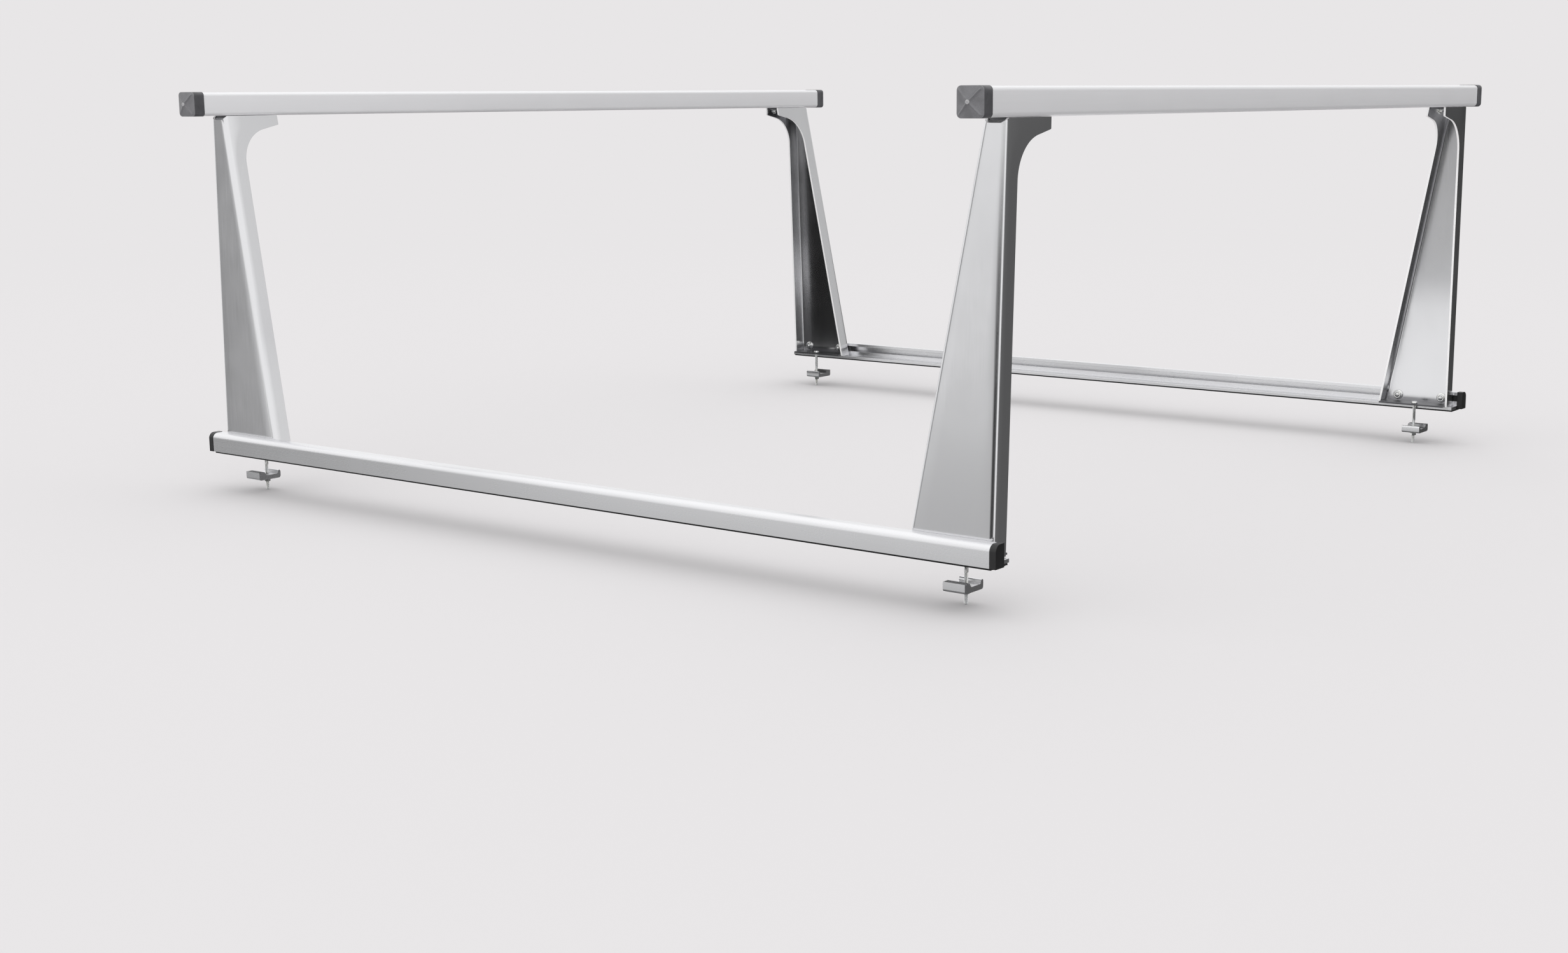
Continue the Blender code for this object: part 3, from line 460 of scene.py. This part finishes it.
def end_cap():
    bar_low, bar_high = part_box("crossbar_front")
    start = bar_high.x + FIT
    face = start + CAP_SLEEVE
    face_edge, nub_foot = face - CAP_EDGE, face + NUB[1] - NUB_RISE
    low = Vector((bar_low.y - CAP_PROUD, bar_low.z - CAP_PROUD))
    high = Vector((bar_high.y + CAP_PROUD, bar_high.z + CAP_PROUD))
    middle = (low + high) / 2
    reach = (high.x - low.x) / 2 - CAP_EDGE

    def ring(x, inset):
        inset = Vector((inset, inset))
        return [(x, *point) for point in rounded_box(low + inset, high - inset, BAR_CORNER - inset.x, 8, 6)]

    def moulded(share):
        """A ring of the face. Its height follows the pyramid and the ribs."""
        points = []
        for _, y, z in ring(face, CAP_EDGE):
            y, z = (y - middle.x) * share, (z - middle.y) * share
            far, off = max(abs(y), abs(z)), abs(abs(y) - abs(z)) / math.sqrt(2)
            rib = RIB[1] * max(0, 1 - (off / RIB[0]) ** 2) * min(1, (1 - share) * 8)
            points.append((face + PYRAMID * (1 - far / reach) + rib, y + middle.x, z + middle.y))
        return points

    def button(radius, height):
        return [(face + height, middle.x + radius * math.cos(turn), middle.y + radius * math.sin(turn))
                for turn in (math.atan2(z - middle.y, y - middle.x) for _, y, z in ring(face, CAP_EDGE))]

    plug_low = Vector((bar_low.y + BAR_WALL + FIT, bar_low.z + 2 * BAR_WALL + BAR_CAVITY[1] + FIT))
    plug_high = Vector((bar_high.y - BAR_WALL - FIT, bar_high.z - BAR_WALL - FIT))
    plug = rounded_box(plug_low, plug_high, BAR_WALL / 2, 8, 6)
    rings = [[(x, *point) for point in plug] for x in (start - CAP_PLUG, start)]
    rings += [ring(start, CAP_MOUTH), ring(start + CAP_MOUTH, 0)]
    rings += [ring(face - CAP_EDGE + out, CAP_EDGE - inset) for inset, out in
              arc((0, 0), CAP_EDGE, 0, 90, 4)]
    rings += [moulded(share) for share in (0.97, 0.93, 0.88, 0.8, 0.7, 0.6, 0.5, 0.4, 0.3, 0.22)]
    rings += [button(NUB[0], NUB[1] - rise) for rise in (0.0018, 0.0006)]
    rings += [button(NUB[0] - 0.0003, NUB[1] - 0.0001), button(NUB[0] * 0.6, NUB[1] + 0.0002),
              button(NUB[0] * 0.2, NUB[1] + 0.0003)]
    shape = skin(rings)
    # The sleeve takes the darker material, painted shade, and the nub's top the paler one, a painted highlight
    for face in shape.faces:
        out = face.calc_center_median().x
        face.material_index = 1 if out < face_edge else 2 if out > nub_foot else 0
    return shape


# Pointiness between which a moulded ridge gets a painted highlight, and how much paler that makes it
RIDGE_HIGHLIGHT_POINTINESS = (0.53, 0.62)
RIDGE_HIGHLIGHT_PALER = 2.2


def grained_nylon(name, tone, roughness, grain_size, depth):
    """Nylon with a spark-eroded mould grain, which breaks its sheen up into a soft, speckled grey, and
    with a painted highlight that makes its ridges paler."""
    finish, tree = new_material(name)
    spot = add(tree, "TexCoord").outputs["Object"]
    grain = add(tree, "TexNoise", {"Scale": 1000 / grain_size, "Detail": 3.0}, {"Vector": spot}).outputs[0]
    wide = add(tree, "TexNoise", {"Scale": 1000 / (grain_size * 14), "Detail": 2.0},
               {"Vector": spot}).outputs[0]
    shades = [[channel * share for channel in linear(tone)[:3]] + [1] for share in (0.82, 1.2)]
    both = add(tree, "Math", {"operation": "MULTIPLY"}, {0: grain, 1: wide}).outputs[0]
    spread = add(tree, "MapRange", {"From Min": 0.12, "From Max": 0.4}, {"Value": both}).outputs[0]
    colour = add(tree, "Mix", {"data_type": "RGBA", 6: shades[0], 7: shades[1]}, {0: spread}).outputs[2]
    # Ridges found by pointiness are painted paler: a painted highlight
    ridge = add(tree, "NewGeometry").outputs["Pointiness"]
    ridge_highlight = add(tree, "MapRange", {"From Min": RIDGE_HIGHLIGHT_POINTINESS[0], "From Max": RIDGE_HIGHLIGHT_POINTINESS[1]}, {"Value": ridge}).outputs[0]
    highlight_tone = [min(1, channel * RIDGE_HIGHLIGHT_PALER) for channel in linear(tone)[:3]] + [1]
    colour = add(tree, "Mix", {"data_type": "RGBA", 7: highlight_tone}, {0: ridge_highlight, 6: colour}).outputs[2]
    dull = add(tree, "MapRange", {"From Min": 0.3, "From Max": 0.7, "To Min": roughness - 0.06,
                                  "To Max": roughness + 0.08}, {"Value": wide}).outputs[0]
    relief = add(tree, "Bump", {"Strength": depth, "Distance": RELIEF_DEPTH}, {"Height": grain}).outputs[0]
    nylon = add(tree, "BsdfPrincipled", {"IOR": 1.53},
                {"Base Color": colour, "Roughness": dull, "Normal": relief})
    add(tree, "OutputMaterial", links={"Surface": nylon.outputs[0]})
    return finish


grey_nylon = grained_nylon("grey_grained_nylon", "#737376", 0.42, 0.9, 0.25)
# The sleeve's darker grey is painted shade on the cap's sides
sleeve_nylon_painted_shade = grained_nylon("grey_smooth_nylon_painted_shade", "#454548", 0.38, 0.7, 0.12)
# The nub's pale grey is a painted highlight
nub_nylon_painted_highlight = grained_nylon("polished_nylon_painted_highlight", "#a6a6a8", 0.22, 0.7, 0.05)
in_corners("crossbar_cap", end_cap, (grey_nylon, ALONG_X), (sleeve_nylon_painted_shade, ALONG_X),
           (nub_nylon_painted_highlight, ALONG_X), rounding=0.0002, sharp=50)

# ---------------------------------------------------------------- Uprights
# Tapered channels folded from 4 mm aluminium sheet, open inboard. Their two flanges run out at the
# top into curved arms under the crossbar. They are linished up and down, and their sawn edges are
# left duller, and near-white as a painted highlight.

SHEET = 0.004
BOLT_HOLE = 0.0044
LEAN = 0.0255                 # inboard lean, metres in a metre
BEND = 0.008                  # outside radius of the folds
FLANGE_WIDTH = 0.033
WEB_DROP = 0.0067             # web's top under the flanges' tops
FOOT_LENGTH = 0.141           # over the two flanges at the foot
SLANT_LEAN = 0.1115           # how much nearer the end flange the slanted one is at its top
END_LEAN = 0.006              # how much further out the end flange is at its top
ARM_END_HEIGHT = 0.0165
ARM_SLOPE = math.radians(12)  # of the arm's underside, between its end and its curve
ARM_CORNER = 0.002
ARM_CURVE = 0.062
BEND_STEPS = 6
FOOT_ROWS = 9                 # rows of the free edge up to the curve's foot

upright_low, upright_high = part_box("upright_front_right")
foot, top = upright_low.z, upright_high.z
web_foot_x, arm_end_x, end_top_y = upright_high.x, upright_low.x, upright_high.y


def web_x(z):
    """Outer face of the web at height z."""
    return web_foot_x - LEAN * (z - foot)


def end_y(z):
    """Outer face of the end flange."""
    return end_top_y - END_LEAN * (top - z) / (top - foot)


def slant_y(z):
    """Outer face of the slanted flange."""
    return end_top_y - END_LEAN - FOOT_LENGTH + SLANT_LEAN * (z - foot) / (top - foot)


def free_edge():
    """The flange's free edge as X and Z, from the foot up to the arm's curve, along the arm's sloping
    underside, round its corner and up its end."""
    slope = math.tan(ARM_SLOPE)
    corner = (arm_end_x, top - ARM_END_HEIGHT)
    edge_at_zero = web_x(0) - FLANGE_WIDTH - ARM_CURVE
    run = edge_at_zero + ARM_CURVE * math.sin(ARM_SLOPE) - corner[0]
    curve_z = (corner[1] - ARM_CURVE * math.cos(ARM_SLOPE) - run * slope) / (1 - LEAN * slope)
    curve = arc((edge_at_zero - LEAN * curve_z, curve_z), ARM_CURVE, 0, 90 - math.degrees(ARM_SLOPE), 16)
    rounding = (corner[0] + ARM_CORNER, corner[1] + ARM_CORNER * math.tan(math.pi / 4 - ARM_SLOPE / 2))
    turned_corner = arc(rounding, ARM_CORNER, 270 - math.degrees(ARM_SLOPE), 180, 4)
    foot_edge = (web_x(foot) - FLANGE_WIDTH, foot)
    return ([foot_edge] + between(foot_edge, curve[0], FOOT_ROWS - 1) + curve
            + between(curve[-1], turned_corner[0], 4) + turned_corner
            + between(turned_corner[-1], (arm_end_x, top), 3) + [(arm_end_x, top)])


def upright():
    edge = free_edge()
    curve_foot = edge[FOOT_ROWS - 1][1]
    heights = [z for _, z in edge[:FOOT_ROWS]]
    heights += [curve_foot + (top - curve_foot) * step / (len(edge) - FOOT_ROWS)
                for step in range(1, len(edge) - FOOT_ROWS + 1)]
    rings = []
    for (free_x, free_z), z in zip(edge, heights):
        sides = []
        for deep in (0, SHEET):
            radius = BEND - deep
            # The web's top is lower than the flanges', and each fold's top runs down to it
            web_z = foot + (z - foot) * (top - WEB_DROP - foot) / (top - foot)
            steps = [step / BEND_STEPS for step in range(BEND_STEPS + 1)]
            flange = [(free_x, free_z), *between((free_x, free_z), (web_x(z) - BEND, z), 4)]
            path = [(x, end_y(level) - deep, level) for x, level in flange]
            for share in steps:
                level, angle = z + (web_z - z) * share, math.pi / 2 * (1 - share)
                path.append((web_x(level) - BEND + radius * math.cos(angle),
                             end_y(level) - BEND + radius * math.sin(angle), level))
            start, finish = path[-1], (web_x(web_z) - deep, slant_y(web_z) + BEND, web_z)
            path += between(start, finish, 6)
            for share in reversed(steps):
                level, angle = z + (web_z - z) * share, -math.pi / 2 * (1 - share)
                path.append((web_x(level) - BEND + radius * math.cos(angle),
                             slant_y(level) + BEND + radius * math.sin(angle), level))
            path += [(x, slant_y(level) + deep, level) for x, level in reversed(flange)]
            sides.append(path)
        rings.append(sides[0] + sides[1][::-1])
    return skin_channel(rings)


def skin_channel(rings):
    """A skin over rings that each go out along a sheet's outer face and back along its inner face. Its
    cut edges have the second material."""
    shape = bmesh.new()
    rows = [[shape.verts.new(point) for point in ring] for ring in rings]
    count = len(rows[0])
    for near, far in zip(rows, rows[1:]):
        for at in range(count):
            face = shape.faces.new((near[at - 1], near[at], far[at], far[at - 1]))
            face.material_index = int(at in (0, count // 2))
    for row in (rows[0], rows[-1]):
        for at in range(count // 2 - 1):
            face = shape.faces.new((row[at], row[at + 1], row[count - 2 - at], row[count - 1 - at]))
            face.material_index = 1
    bmesh.ops.recalc_face_normals(shape, faces=shape.faces)
    return shape


stud_boxes = [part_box(f"foot_nut_{which}_front_right") for which in ("outer", "inner")]
stud_places = [(low + high) / 2 for low, high in stud_boxes]
upright_metal = brushed_aluminium("anodised_aluminium_upright", "Z", "#e2e2e4", 0.19)
# The sawn edges' near-white, nearly matt tone is a painted highlight along the sheet's edges
sawn_edge_metal_painted_highlight = brushed_aluminium("aluminium_sawn_edge_painted_highlight", "Y", "#fafafa", 0.5, metallic=0.2)
in_corners("upright", upright, (upright_metal, ALONG_Z), (sawn_edge_metal_painted_highlight, ALONG_Y), rounding=0.0009,
           drills=[((place_at.x + 0.01, place_at.y, place_at.z), "X", BOLT_HOLE) for place_at in stud_places])

# ---------------------------------------------------------------- Plates in the uprights
# Mill-finish aluminium plates welded between the flanges, one at the top for the crossbar's bolt and
# one at the foot, which lies on the rail and carries the clamp's bolt. Their dark grey tone is painted
# shade, for the hollows that they sit in.

CLAMP_HOLE = 0.0034


def plate(node):
    low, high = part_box(node)
    corners = [(low.x, low.y), (high.x, low.y), (high.x, high.y), (low.x, high.y)]
    return extrusion("Z", low.z, high.z, corners)


bar_bolt = sum(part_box("crossbar_nut_front_right"), Vector()) / 2
clamp_bolt_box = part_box("clamp_nut_front_right")
clamp_at = (clamp_bolt_box[0] + clamp_bolt_box[1]) / 2
top_plate_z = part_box("top_plate_front_right")[1].z
foot_plate_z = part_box("foot_plate_front_right")[1].z
# The plates' dark grey is painted shade for the hollows at the web's top and round the foot
shaded_plate_aluminium = brushed_aluminium("aluminium_plate_painted_shade", "X", "#6f6f72", 0.42)
in_corners("top_plate", lambda: plate("top_plate_front_right"), (shaded_plate_aluminium, ALONG_X),
           drills=[((bar_bolt.x, bar_bolt.y, top_plate_z), "Z", BOLT_HOLE)])
in_corners("foot_plate", lambda: plate("foot_plate_front_right"), (shaded_plate_aluminium, ALONG_X),
           rounding=0.0006, drills=[((clamp_at.x, clamp_at.y, foot_plate_z), "Z", CLAMP_HOLE)])

# ---------------------------------------------------------------- Side rails
# Aluminium extrusions: a box with a rounded shoulder and a T-slot on its inboard side, and a flat
# flange along its foot that the uprights stand on. Linished and anodised like the crossbars.

RAIL_SHOULDER = 0.010
RAIL_LIP = 0.004
RAIL_SKIN = 0.0045
RAIL_FLANGE_THICKNESS = 0.006
RAIL_BOX_WIDTH = 0.021
RAIL_CAVITY_HEIGHT = 0.019
RAIL_MOUTH_HEIGHT = 0.012
slot_z = stud_places[0].z
rail_low, rail_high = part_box("rail_right")
rail_wall = rail_high.x - RAIL_BOX_WIDTH


def rail_face(proud, low):
    """Outer face, shoulder and top of the rail's box."""
    outer, above, radius = rail_high.x + proud, rail_high.z + proud, RAIL_SHOULDER + proud
    return [(outer, low), *arc((outer - radius, above - radius), radius, 0, 90, 14), (rail_wall, above)]


def rail_cavity(shrink):
    """The T-slot's cavity, with its outer top corner cut off."""
    near, far = rail_wall + RAIL_LIP + shrink, rail_high.x - RAIL_SKIN - shrink
    low, high = slot_z - RAIL_CAVITY_HEIGHT / 2 + shrink, slot_z + RAIL_CAVITY_HEIGHT / 2 - shrink
    return [(near, low), (far, low), (far, high - RAIL_LIP), (far - RAIL_LIP, high), (near, high)]


def rail():
    near = rail_wall + RAIL_LIP
    low, high = slot_z - RAIL_MOUTH_HEIGHT / 2, slot_z + RAIL_MOUTH_HEIGHT / 2
    slot = [(rail_wall, high), (near, high), *reversed(rail_cavity(0)), (near, low), (rail_wall, low)]
    ledge = rail_low.z + RAIL_FLANGE_THICKNESS
    flange = [(rail_wall, ledge), (rail_low.x, ledge), (rail_low.x, rail_low.z)]
    return extrusion("Y", rail_low.y, rail_high.y, rail_face(0, rail_low.z) + slot + flange)


rail_metal = brushed_aluminium("anodised_aluminium_rail", "Y", "#e6e6e8", 0.28)


def on_both_sides(name, make, finish, **edges):
    for side_name, side in (("left", -1), ("right", 1)):
        shape = make()
        if side < 0:
            shape.transform(Matrix.Diagonal((-1, 1, 1, 1)))
            bmesh.ops.reverse_faces(shape, faces=shape.faces)
        place(f"{name}_{side_name}", finished(shape, **edges), (finish, ALONG_Y))


on_both_sides("rail", rail, rail_metal, rounding=0.0006)

# ---------------------------------------------------------------- Rail end caps
# Black nylon D-shaped covers, each with a plug that is pressed into the slot's cavity.

RAIL_CAP_PROUD = 0.0005
cap_low, cap_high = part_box("rail_cap_front_right")
rail_cap_start = rail_high.y + FIT


def rail_cap():
    cover = rail_face(RAIL_CAP_PROUD, rail_low.z) + [(rail_wall, rail_low.z)]
    shape = extrusion("Y", rail_cap_start, cap_high.y, cover)
    plug = extrusion("Y", cap_low.y, rail_cap_start + 0.002, rail_cavity(FIT))
    return merged(shape, plug)


def merged(shape, *others):
    """Several closed shapes as one piece."""
    for other in others:
        mesh = bpy.data.meshes.new("merged")
        other.to_mesh(mesh)
        other.free()
        shape.from_mesh(mesh)
        bpy.data.meshes.remove(mesh)
    return shape


black_nylon = grained_nylon("black_satin_nylon", "#131314", 0.36, 0.8, 0.2)
in_corners("rail_cap", rail_cap, (black_nylon, ALONG_Y), rounding=0.0014, sharp=50)

# ---------------------------------------------------------------- Seals
# EPDM strips under the rails, extruded with grooves, which lie on the painted bed sides.

SEAL_GROOVES = 6
SEAL_GROOVE = (0.0026, 0.0012)   # width and depth


def seal():
    low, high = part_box("rail_seal_right")
    pitch = (high.x - low.x) / SEAL_GROOVES
    underside = []
    for groove in range(SEAL_GROOVES):
        middle = low.x + pitch * (groove + 0.5)
        rim, bottom = SEAL_GROOVE[0] / 2, low.z + SEAL_GROOVE[1]
        underside += [(middle - rim, low.z), (middle - rim / 2, bottom), (middle + rim / 2, bottom),
                      (middle + rim, low.z)]
    return extrusion("Y", low.y, high.y, [(low.x, high.z), (low.x, low.z), *underside,
                                          (high.x, low.z), (high.x, high.z)])


# Rubber that has picked up dust: a dull black with greyer patches and hardly a sheen
epdm, tree = new_material("dusty_epdm_rubber")
spot = add(tree, "TexCoord").outputs["Object"]
dust = add(tree, "TexNoise", {"Scale": 1000 / 9, "Detail": 5.0}, {"Vector": spot}).outputs[0]
tone = add(tree, "Mix", {"data_type": "RGBA", 6: linear("#0c0c0d"), 7: linear("#1e1e1f")},
           {0: dust}).outputs[2]
pores = add(tree, "TexNoise", {"Scale": 1000 / 0.7}, {"Vector": spot}).outputs[0]
relief = add(tree, "Bump", {"Strength": 0.2, "Distance": RELIEF_DEPTH}, {"Height": pores}).outputs[0]
rubber = add(tree, "BsdfPrincipled", {"IOR": 1.5, "Roughness": 0.8}, {"Base Color": tone, "Normal": relief})
add(tree, "OutputMaterial", links={"Surface": rubber.outputs[0]})
on_both_sides("rail_seal", seal, epdm, rounding=0.0002)

# ---------------------------------------------------------------- Bolts, studs and nuts
# Zinc-plated steel. A T-bolt in the crossbar's slot and a two-stud bar in the rail's slot hold each
# upright with flange nuts. Threads are rolled and the hexagons are cold headed.

PITCH = 0.00125
CLAMP_PITCH = 0.001
THREAD_DEPTH = 0.55              # in pitches
THREAD_TAPER = 0.12              # how much thinner the shank's end is, in radii
NUT_FLATS = 0.013
NUT_FLANGE = (0.0095, 0.0018)    # radius and thickness
BOLT_RADIUS = 0.004
THREAD_ROWS = 6                  # rows of points to a turn of thread


def thread(radius, pitch, low, high):
    """Rows of a rolled thread from low to high."""
    rows = []
    count = max(2, int((high - low) / pitch * THREAD_ROWS))
    for row in range(count + 1):
        height = low + (high - low) * row / count
        taper = min(1.0, (height - low) / pitch + 0.15)

        def cut(turn, height=height, taper=taper):
            wave = abs((height / pitch - turn / (2 * math.pi)) % 1 * 2 - 1)
            return radius - pitch * THREAD_DEPTH * wave - radius * THREAD_TAPER * (1 - taper)
        rows.append((cut, height))
    return rows


def hexagon(flats, trim=None):
    """A hexagon's radius by angle, trimmed to a cone's radius for the chamfer on its corners."""
    def radius(turn):
        corner = flats / 2 / math.cos((turn % (math.pi / 3)) - math.pi / 6)
        return min(corner, trim) if trim else corner
    return radius


def flange_nut(flats, height, flange, bore):
    """A flange nut about the Z axis, its flange's face at 0 and the hexagon below it."""
    rim, thick = flange
    full, tip = flats / math.sqrt(3), flats * 0.49
    rows = [(bore, 0), (rim - 0.0003, 0), (rim, -0.0003), (rim, -thick * 0.5), (rim - 0.0002, -thick * 0.62),
            (full + 0.0002, -thick), (hexagon(flats), -thick - 0.0003),
            (hexagon(flats, full * 0.995), -height + 0.0012), (hexagon(flats, full * 0.93), -height + 0.0005),
            (tip, -height), (bore + 0.0006, -height), (bore, -height + 0.0006)]
    return turned(rows, around=48, closed=True)


def nut_on(node, axis, flats, flange, bore):
    """A flange nut in the place of a CAD nut at the front right corner."""
    low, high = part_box(node)
    face, height = (high.x, high.x - low.x) if axis == "X" else (high.z, high.z - low.z)
    centre = (low + high) / 2
    centre["XYZ".index(axis)] = face
    return turn_to(flange_nut(flats, height, flange, bore), centre, axis)


# Bright zinc plate over steel: cool silver with a faint yellow and blue cast and small dull specks
zinc, tree = new_material("zinc_plated_steel")
spot = add(tree, "TexCoord").outputs["Object"]
specks = add(tree, "TexNoise", {"Scale": 1000 / 1.2, "Detail": 4.0}, {"Vector": spot}).outputs[0]
cast = add(tree, "TexNoise", {"Scale": 1000 / 12, "Detail": 1.0}, {"Vector": spot}).outputs[0]
tone = add(tree, "Mix", {"data_type": "RGBA", 6: linear("#e2e5ea"), 7: linear("#ebe9e2")},
           {0: cast}).outputs[2]
dull = add(tree, "MapRange", {"From Min": 0.35, "From Max": 0.7, "To Min": 0.16, "To Max": 0.34},
           {"Value": specks}).outputs[0]
relief = add(tree, "Bump", {"Strength": 0.08, "Distance": RELIEF_DEPTH / 2}, {"Height": specks}).outputs[0]
plate_metal = add(tree, "BsdfPrincipled", {"Metallic": 1.0},
                  {"Base Color": tone, "Roughness": dull, "Normal": relief})
add(tree, "OutputMaterial", links={"Surface": plate_metal.outputs[0]})

in_corners("crossbar_nut", lambda: nut_on("crossbar_nut_front_right", "Z", NUT_FLATS, NUT_FLANGE, BOLT_HOLE),
           (zinc, ALONG_Z), rounding=0.0001)
for which in ("outer", "inner"):
    in_corners(f"foot_nut_{which}", lambda: nut_on(f"foot_nut_{which}_front_right", "X", NUT_FLATS,
                                                   NUT_FLANGE, BOLT_HOLE), (zinc, ALONG_Z), rounding=0.0001)

HEAD_THICKNESS = 0.004


def crossbar_bolt():
    low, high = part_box("crossbar_bolt_front_right")
    head = extrusion("Z", high.z - HEAD_THICKNESS, high.z,
                     rounded_box((low.x, low.y), (high.x, high.y), 0.0015, 4))
    rows = [(BOLT_RADIUS - 0.001, low.z),
            *thread(BOLT_RADIUS, PITCH, low.z + 0.0004, high.z - HEAD_THICKNESS)]
    rows.append((BOLT_RADIUS, high.z - HEAD_THICKNESS / 2))
    shank = turned(rows)
    shank.transform(Matrix.Translation((bar_bolt.x, bar_bolt.y, 0)))
    return merged(head, shank)


def stud_bar():
    low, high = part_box("foot_stud_bar_front_right")
    bar = extrusion("X", high.x - HEAD_THICKNESS, high.x,
                    rounded_box((low.y, low.z), (high.y, high.z), 0.002, 4))
    studs = []
    for at in stud_places:
        length = high.x - HEAD_THICKNESS / 2 - low.x
        rows = [(BOLT_RADIUS - 0.001, 0), *thread(BOLT_RADIUS, PITCH, 0.0004, length - 0.001),
                (BOLT_RADIUS, length)]
        studs.append(turn_to(turned(rows), (low.x, at.y, at.z), "X"))
    return merged(bar, *studs)


in_corners("crossbar_bolt", crossbar_bolt, (zinc, ALONG_Z), rounding=0.0004, sharp=60)
in_corners("foot_stud_bar", stud_bar, (zinc, ALONG_Z), rounding=0.0004, sharp=60)

# ---------------------------------------------------------------- Clamps
# A button-head bolt hangs from the foot plate. A J-shaped aluminium jaw, sawn from an extrusion, and
# a flange nut under it grip the bed side's inner lip. The jaw's nose is serrated.

CLAMP_RADIUS = 0.003
BUTTON = (0.006, 0.0042, 0.004)   # radius at the foot and at the top, and height
SOCKET = (0.004, 0.002)           # across flats, and depth
CLAMP_NUT_FLATS = 0.010
CLAMP_NUT_FLANGE = (0.0065, 0.0018)
THREADED = 0.045                  # length of the clamp bolt's thread


def clamp_bolt():
    low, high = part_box("clamp_bolt_front_right")
    head = high.z - BUTTON[2]
    rows = [(CLAMP_RADIUS - 0.0008, low.z),
            *thread(CLAMP_RADIUS, CLAMP_PITCH, low.z + 0.0003, low.z + THREADED)]
    rows += [(CLAMP_RADIUS, low.z + THREADED + 0.0003), (CLAMP_RADIUS, head), (BUTTON[0] - 0.0002, head),
             (BUTTON[0], head + 0.0003), (BUTTON[0] * 0.99, head + 0.0012)]
    rows += [(BUTTON[1] + (BUTTON[0] * 0.99 - BUTTON[1]) * math.cos(turn), head + 0.0012 + (BUTTON[2] - 0.0012)
              * math.sin(turn)) for turn in (math.radians(18 * step) for step in range(1, 6))]
    rows += [(SOCKET[0] * 0.62, high.z), (hexagon(SOCKET[0]), high.z - 0.0003),
             (hexagon(SOCKET[0]), high.z - SOCKET[1]), (0.0006, high.z - SOCKET[1] - 0.0004)]
    shape = turned(rows, around=36)
    shape.transform(Matrix.Translation((clamp_at.x, clamp_at.y, 0)))
    return shape


JAW_BASE = 0.008
JAW_LIFT = 0.006
JAW_HEEL = 0.006
JAW_NOSE = 0.012
JAW_FILLET = 0.0025
JAW_CORNER = 0.004
TEETH = 6
TOOTH = 0.0007


def clamp_jaw():
    low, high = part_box("clamp_jaw_front_right")
    base, tip, back = low.z + JAW_BASE, high.x, low.x
    teeth = []
    for tooth in range(TEETH):
        start = tip - JAW_NOSE * tooth / TEETH
        teeth += [(start, high.z), (start - JAW_NOSE / TEETH * 0.7, high.z - TOOTH)]
    foot_of_nose = arc((tip - JAW_NOSE - JAW_LIFT / 2 - JAW_FILLET, base + JAW_FILLET), JAW_FILLET,
                       320, 270, 4)
    heel = arc((back + JAW_HEEL + JAW_FILLET, base + JAW_FILLET), JAW_FILLET, 270, 180, 5)
    return extrusion("Y", low.y, high.y,
                     [*arc((back + JAW_CORNER, low.z + JAW_CORNER), JAW_CORNER, 180, 270, 6),
                      *arc((tip - JAW_CORNER, low.z + JAW_CORNER), JAW_CORNER, 270, 360, 6), *teeth,
                      (tip - JAW_NOSE, high.z), *foot_of_nose, *heel,
                      *arc((back + JAW_HEEL / 2, high.z - JAW_HEEL / 2), JAW_HEEL / 2, 0, 180, 8)])


in_corners("clamp_bolt", clamp_bolt, (zinc, ALONG_Z), rounding=0.00008, sharp=50)
in_corners("clamp_jaw", clamp_jaw, (rail_metal, ALONG_Y), rounding=0.0004, sharp=40,
           drills=[((clamp_at.x, clamp_at.y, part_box("clamp_jaw_front_right")[0].z + JAW_BASE / 2), "Z",
                    CLAMP_HOLE)])
in_corners("clamp_nut", lambda: nut_on("clamp_nut_front_right", "Z", CLAMP_NUT_FLATS, CLAMP_NUT_FLANGE,
                                       CLAMP_HOLE), (zinc, ALONG_Z), rounding=0.0001)
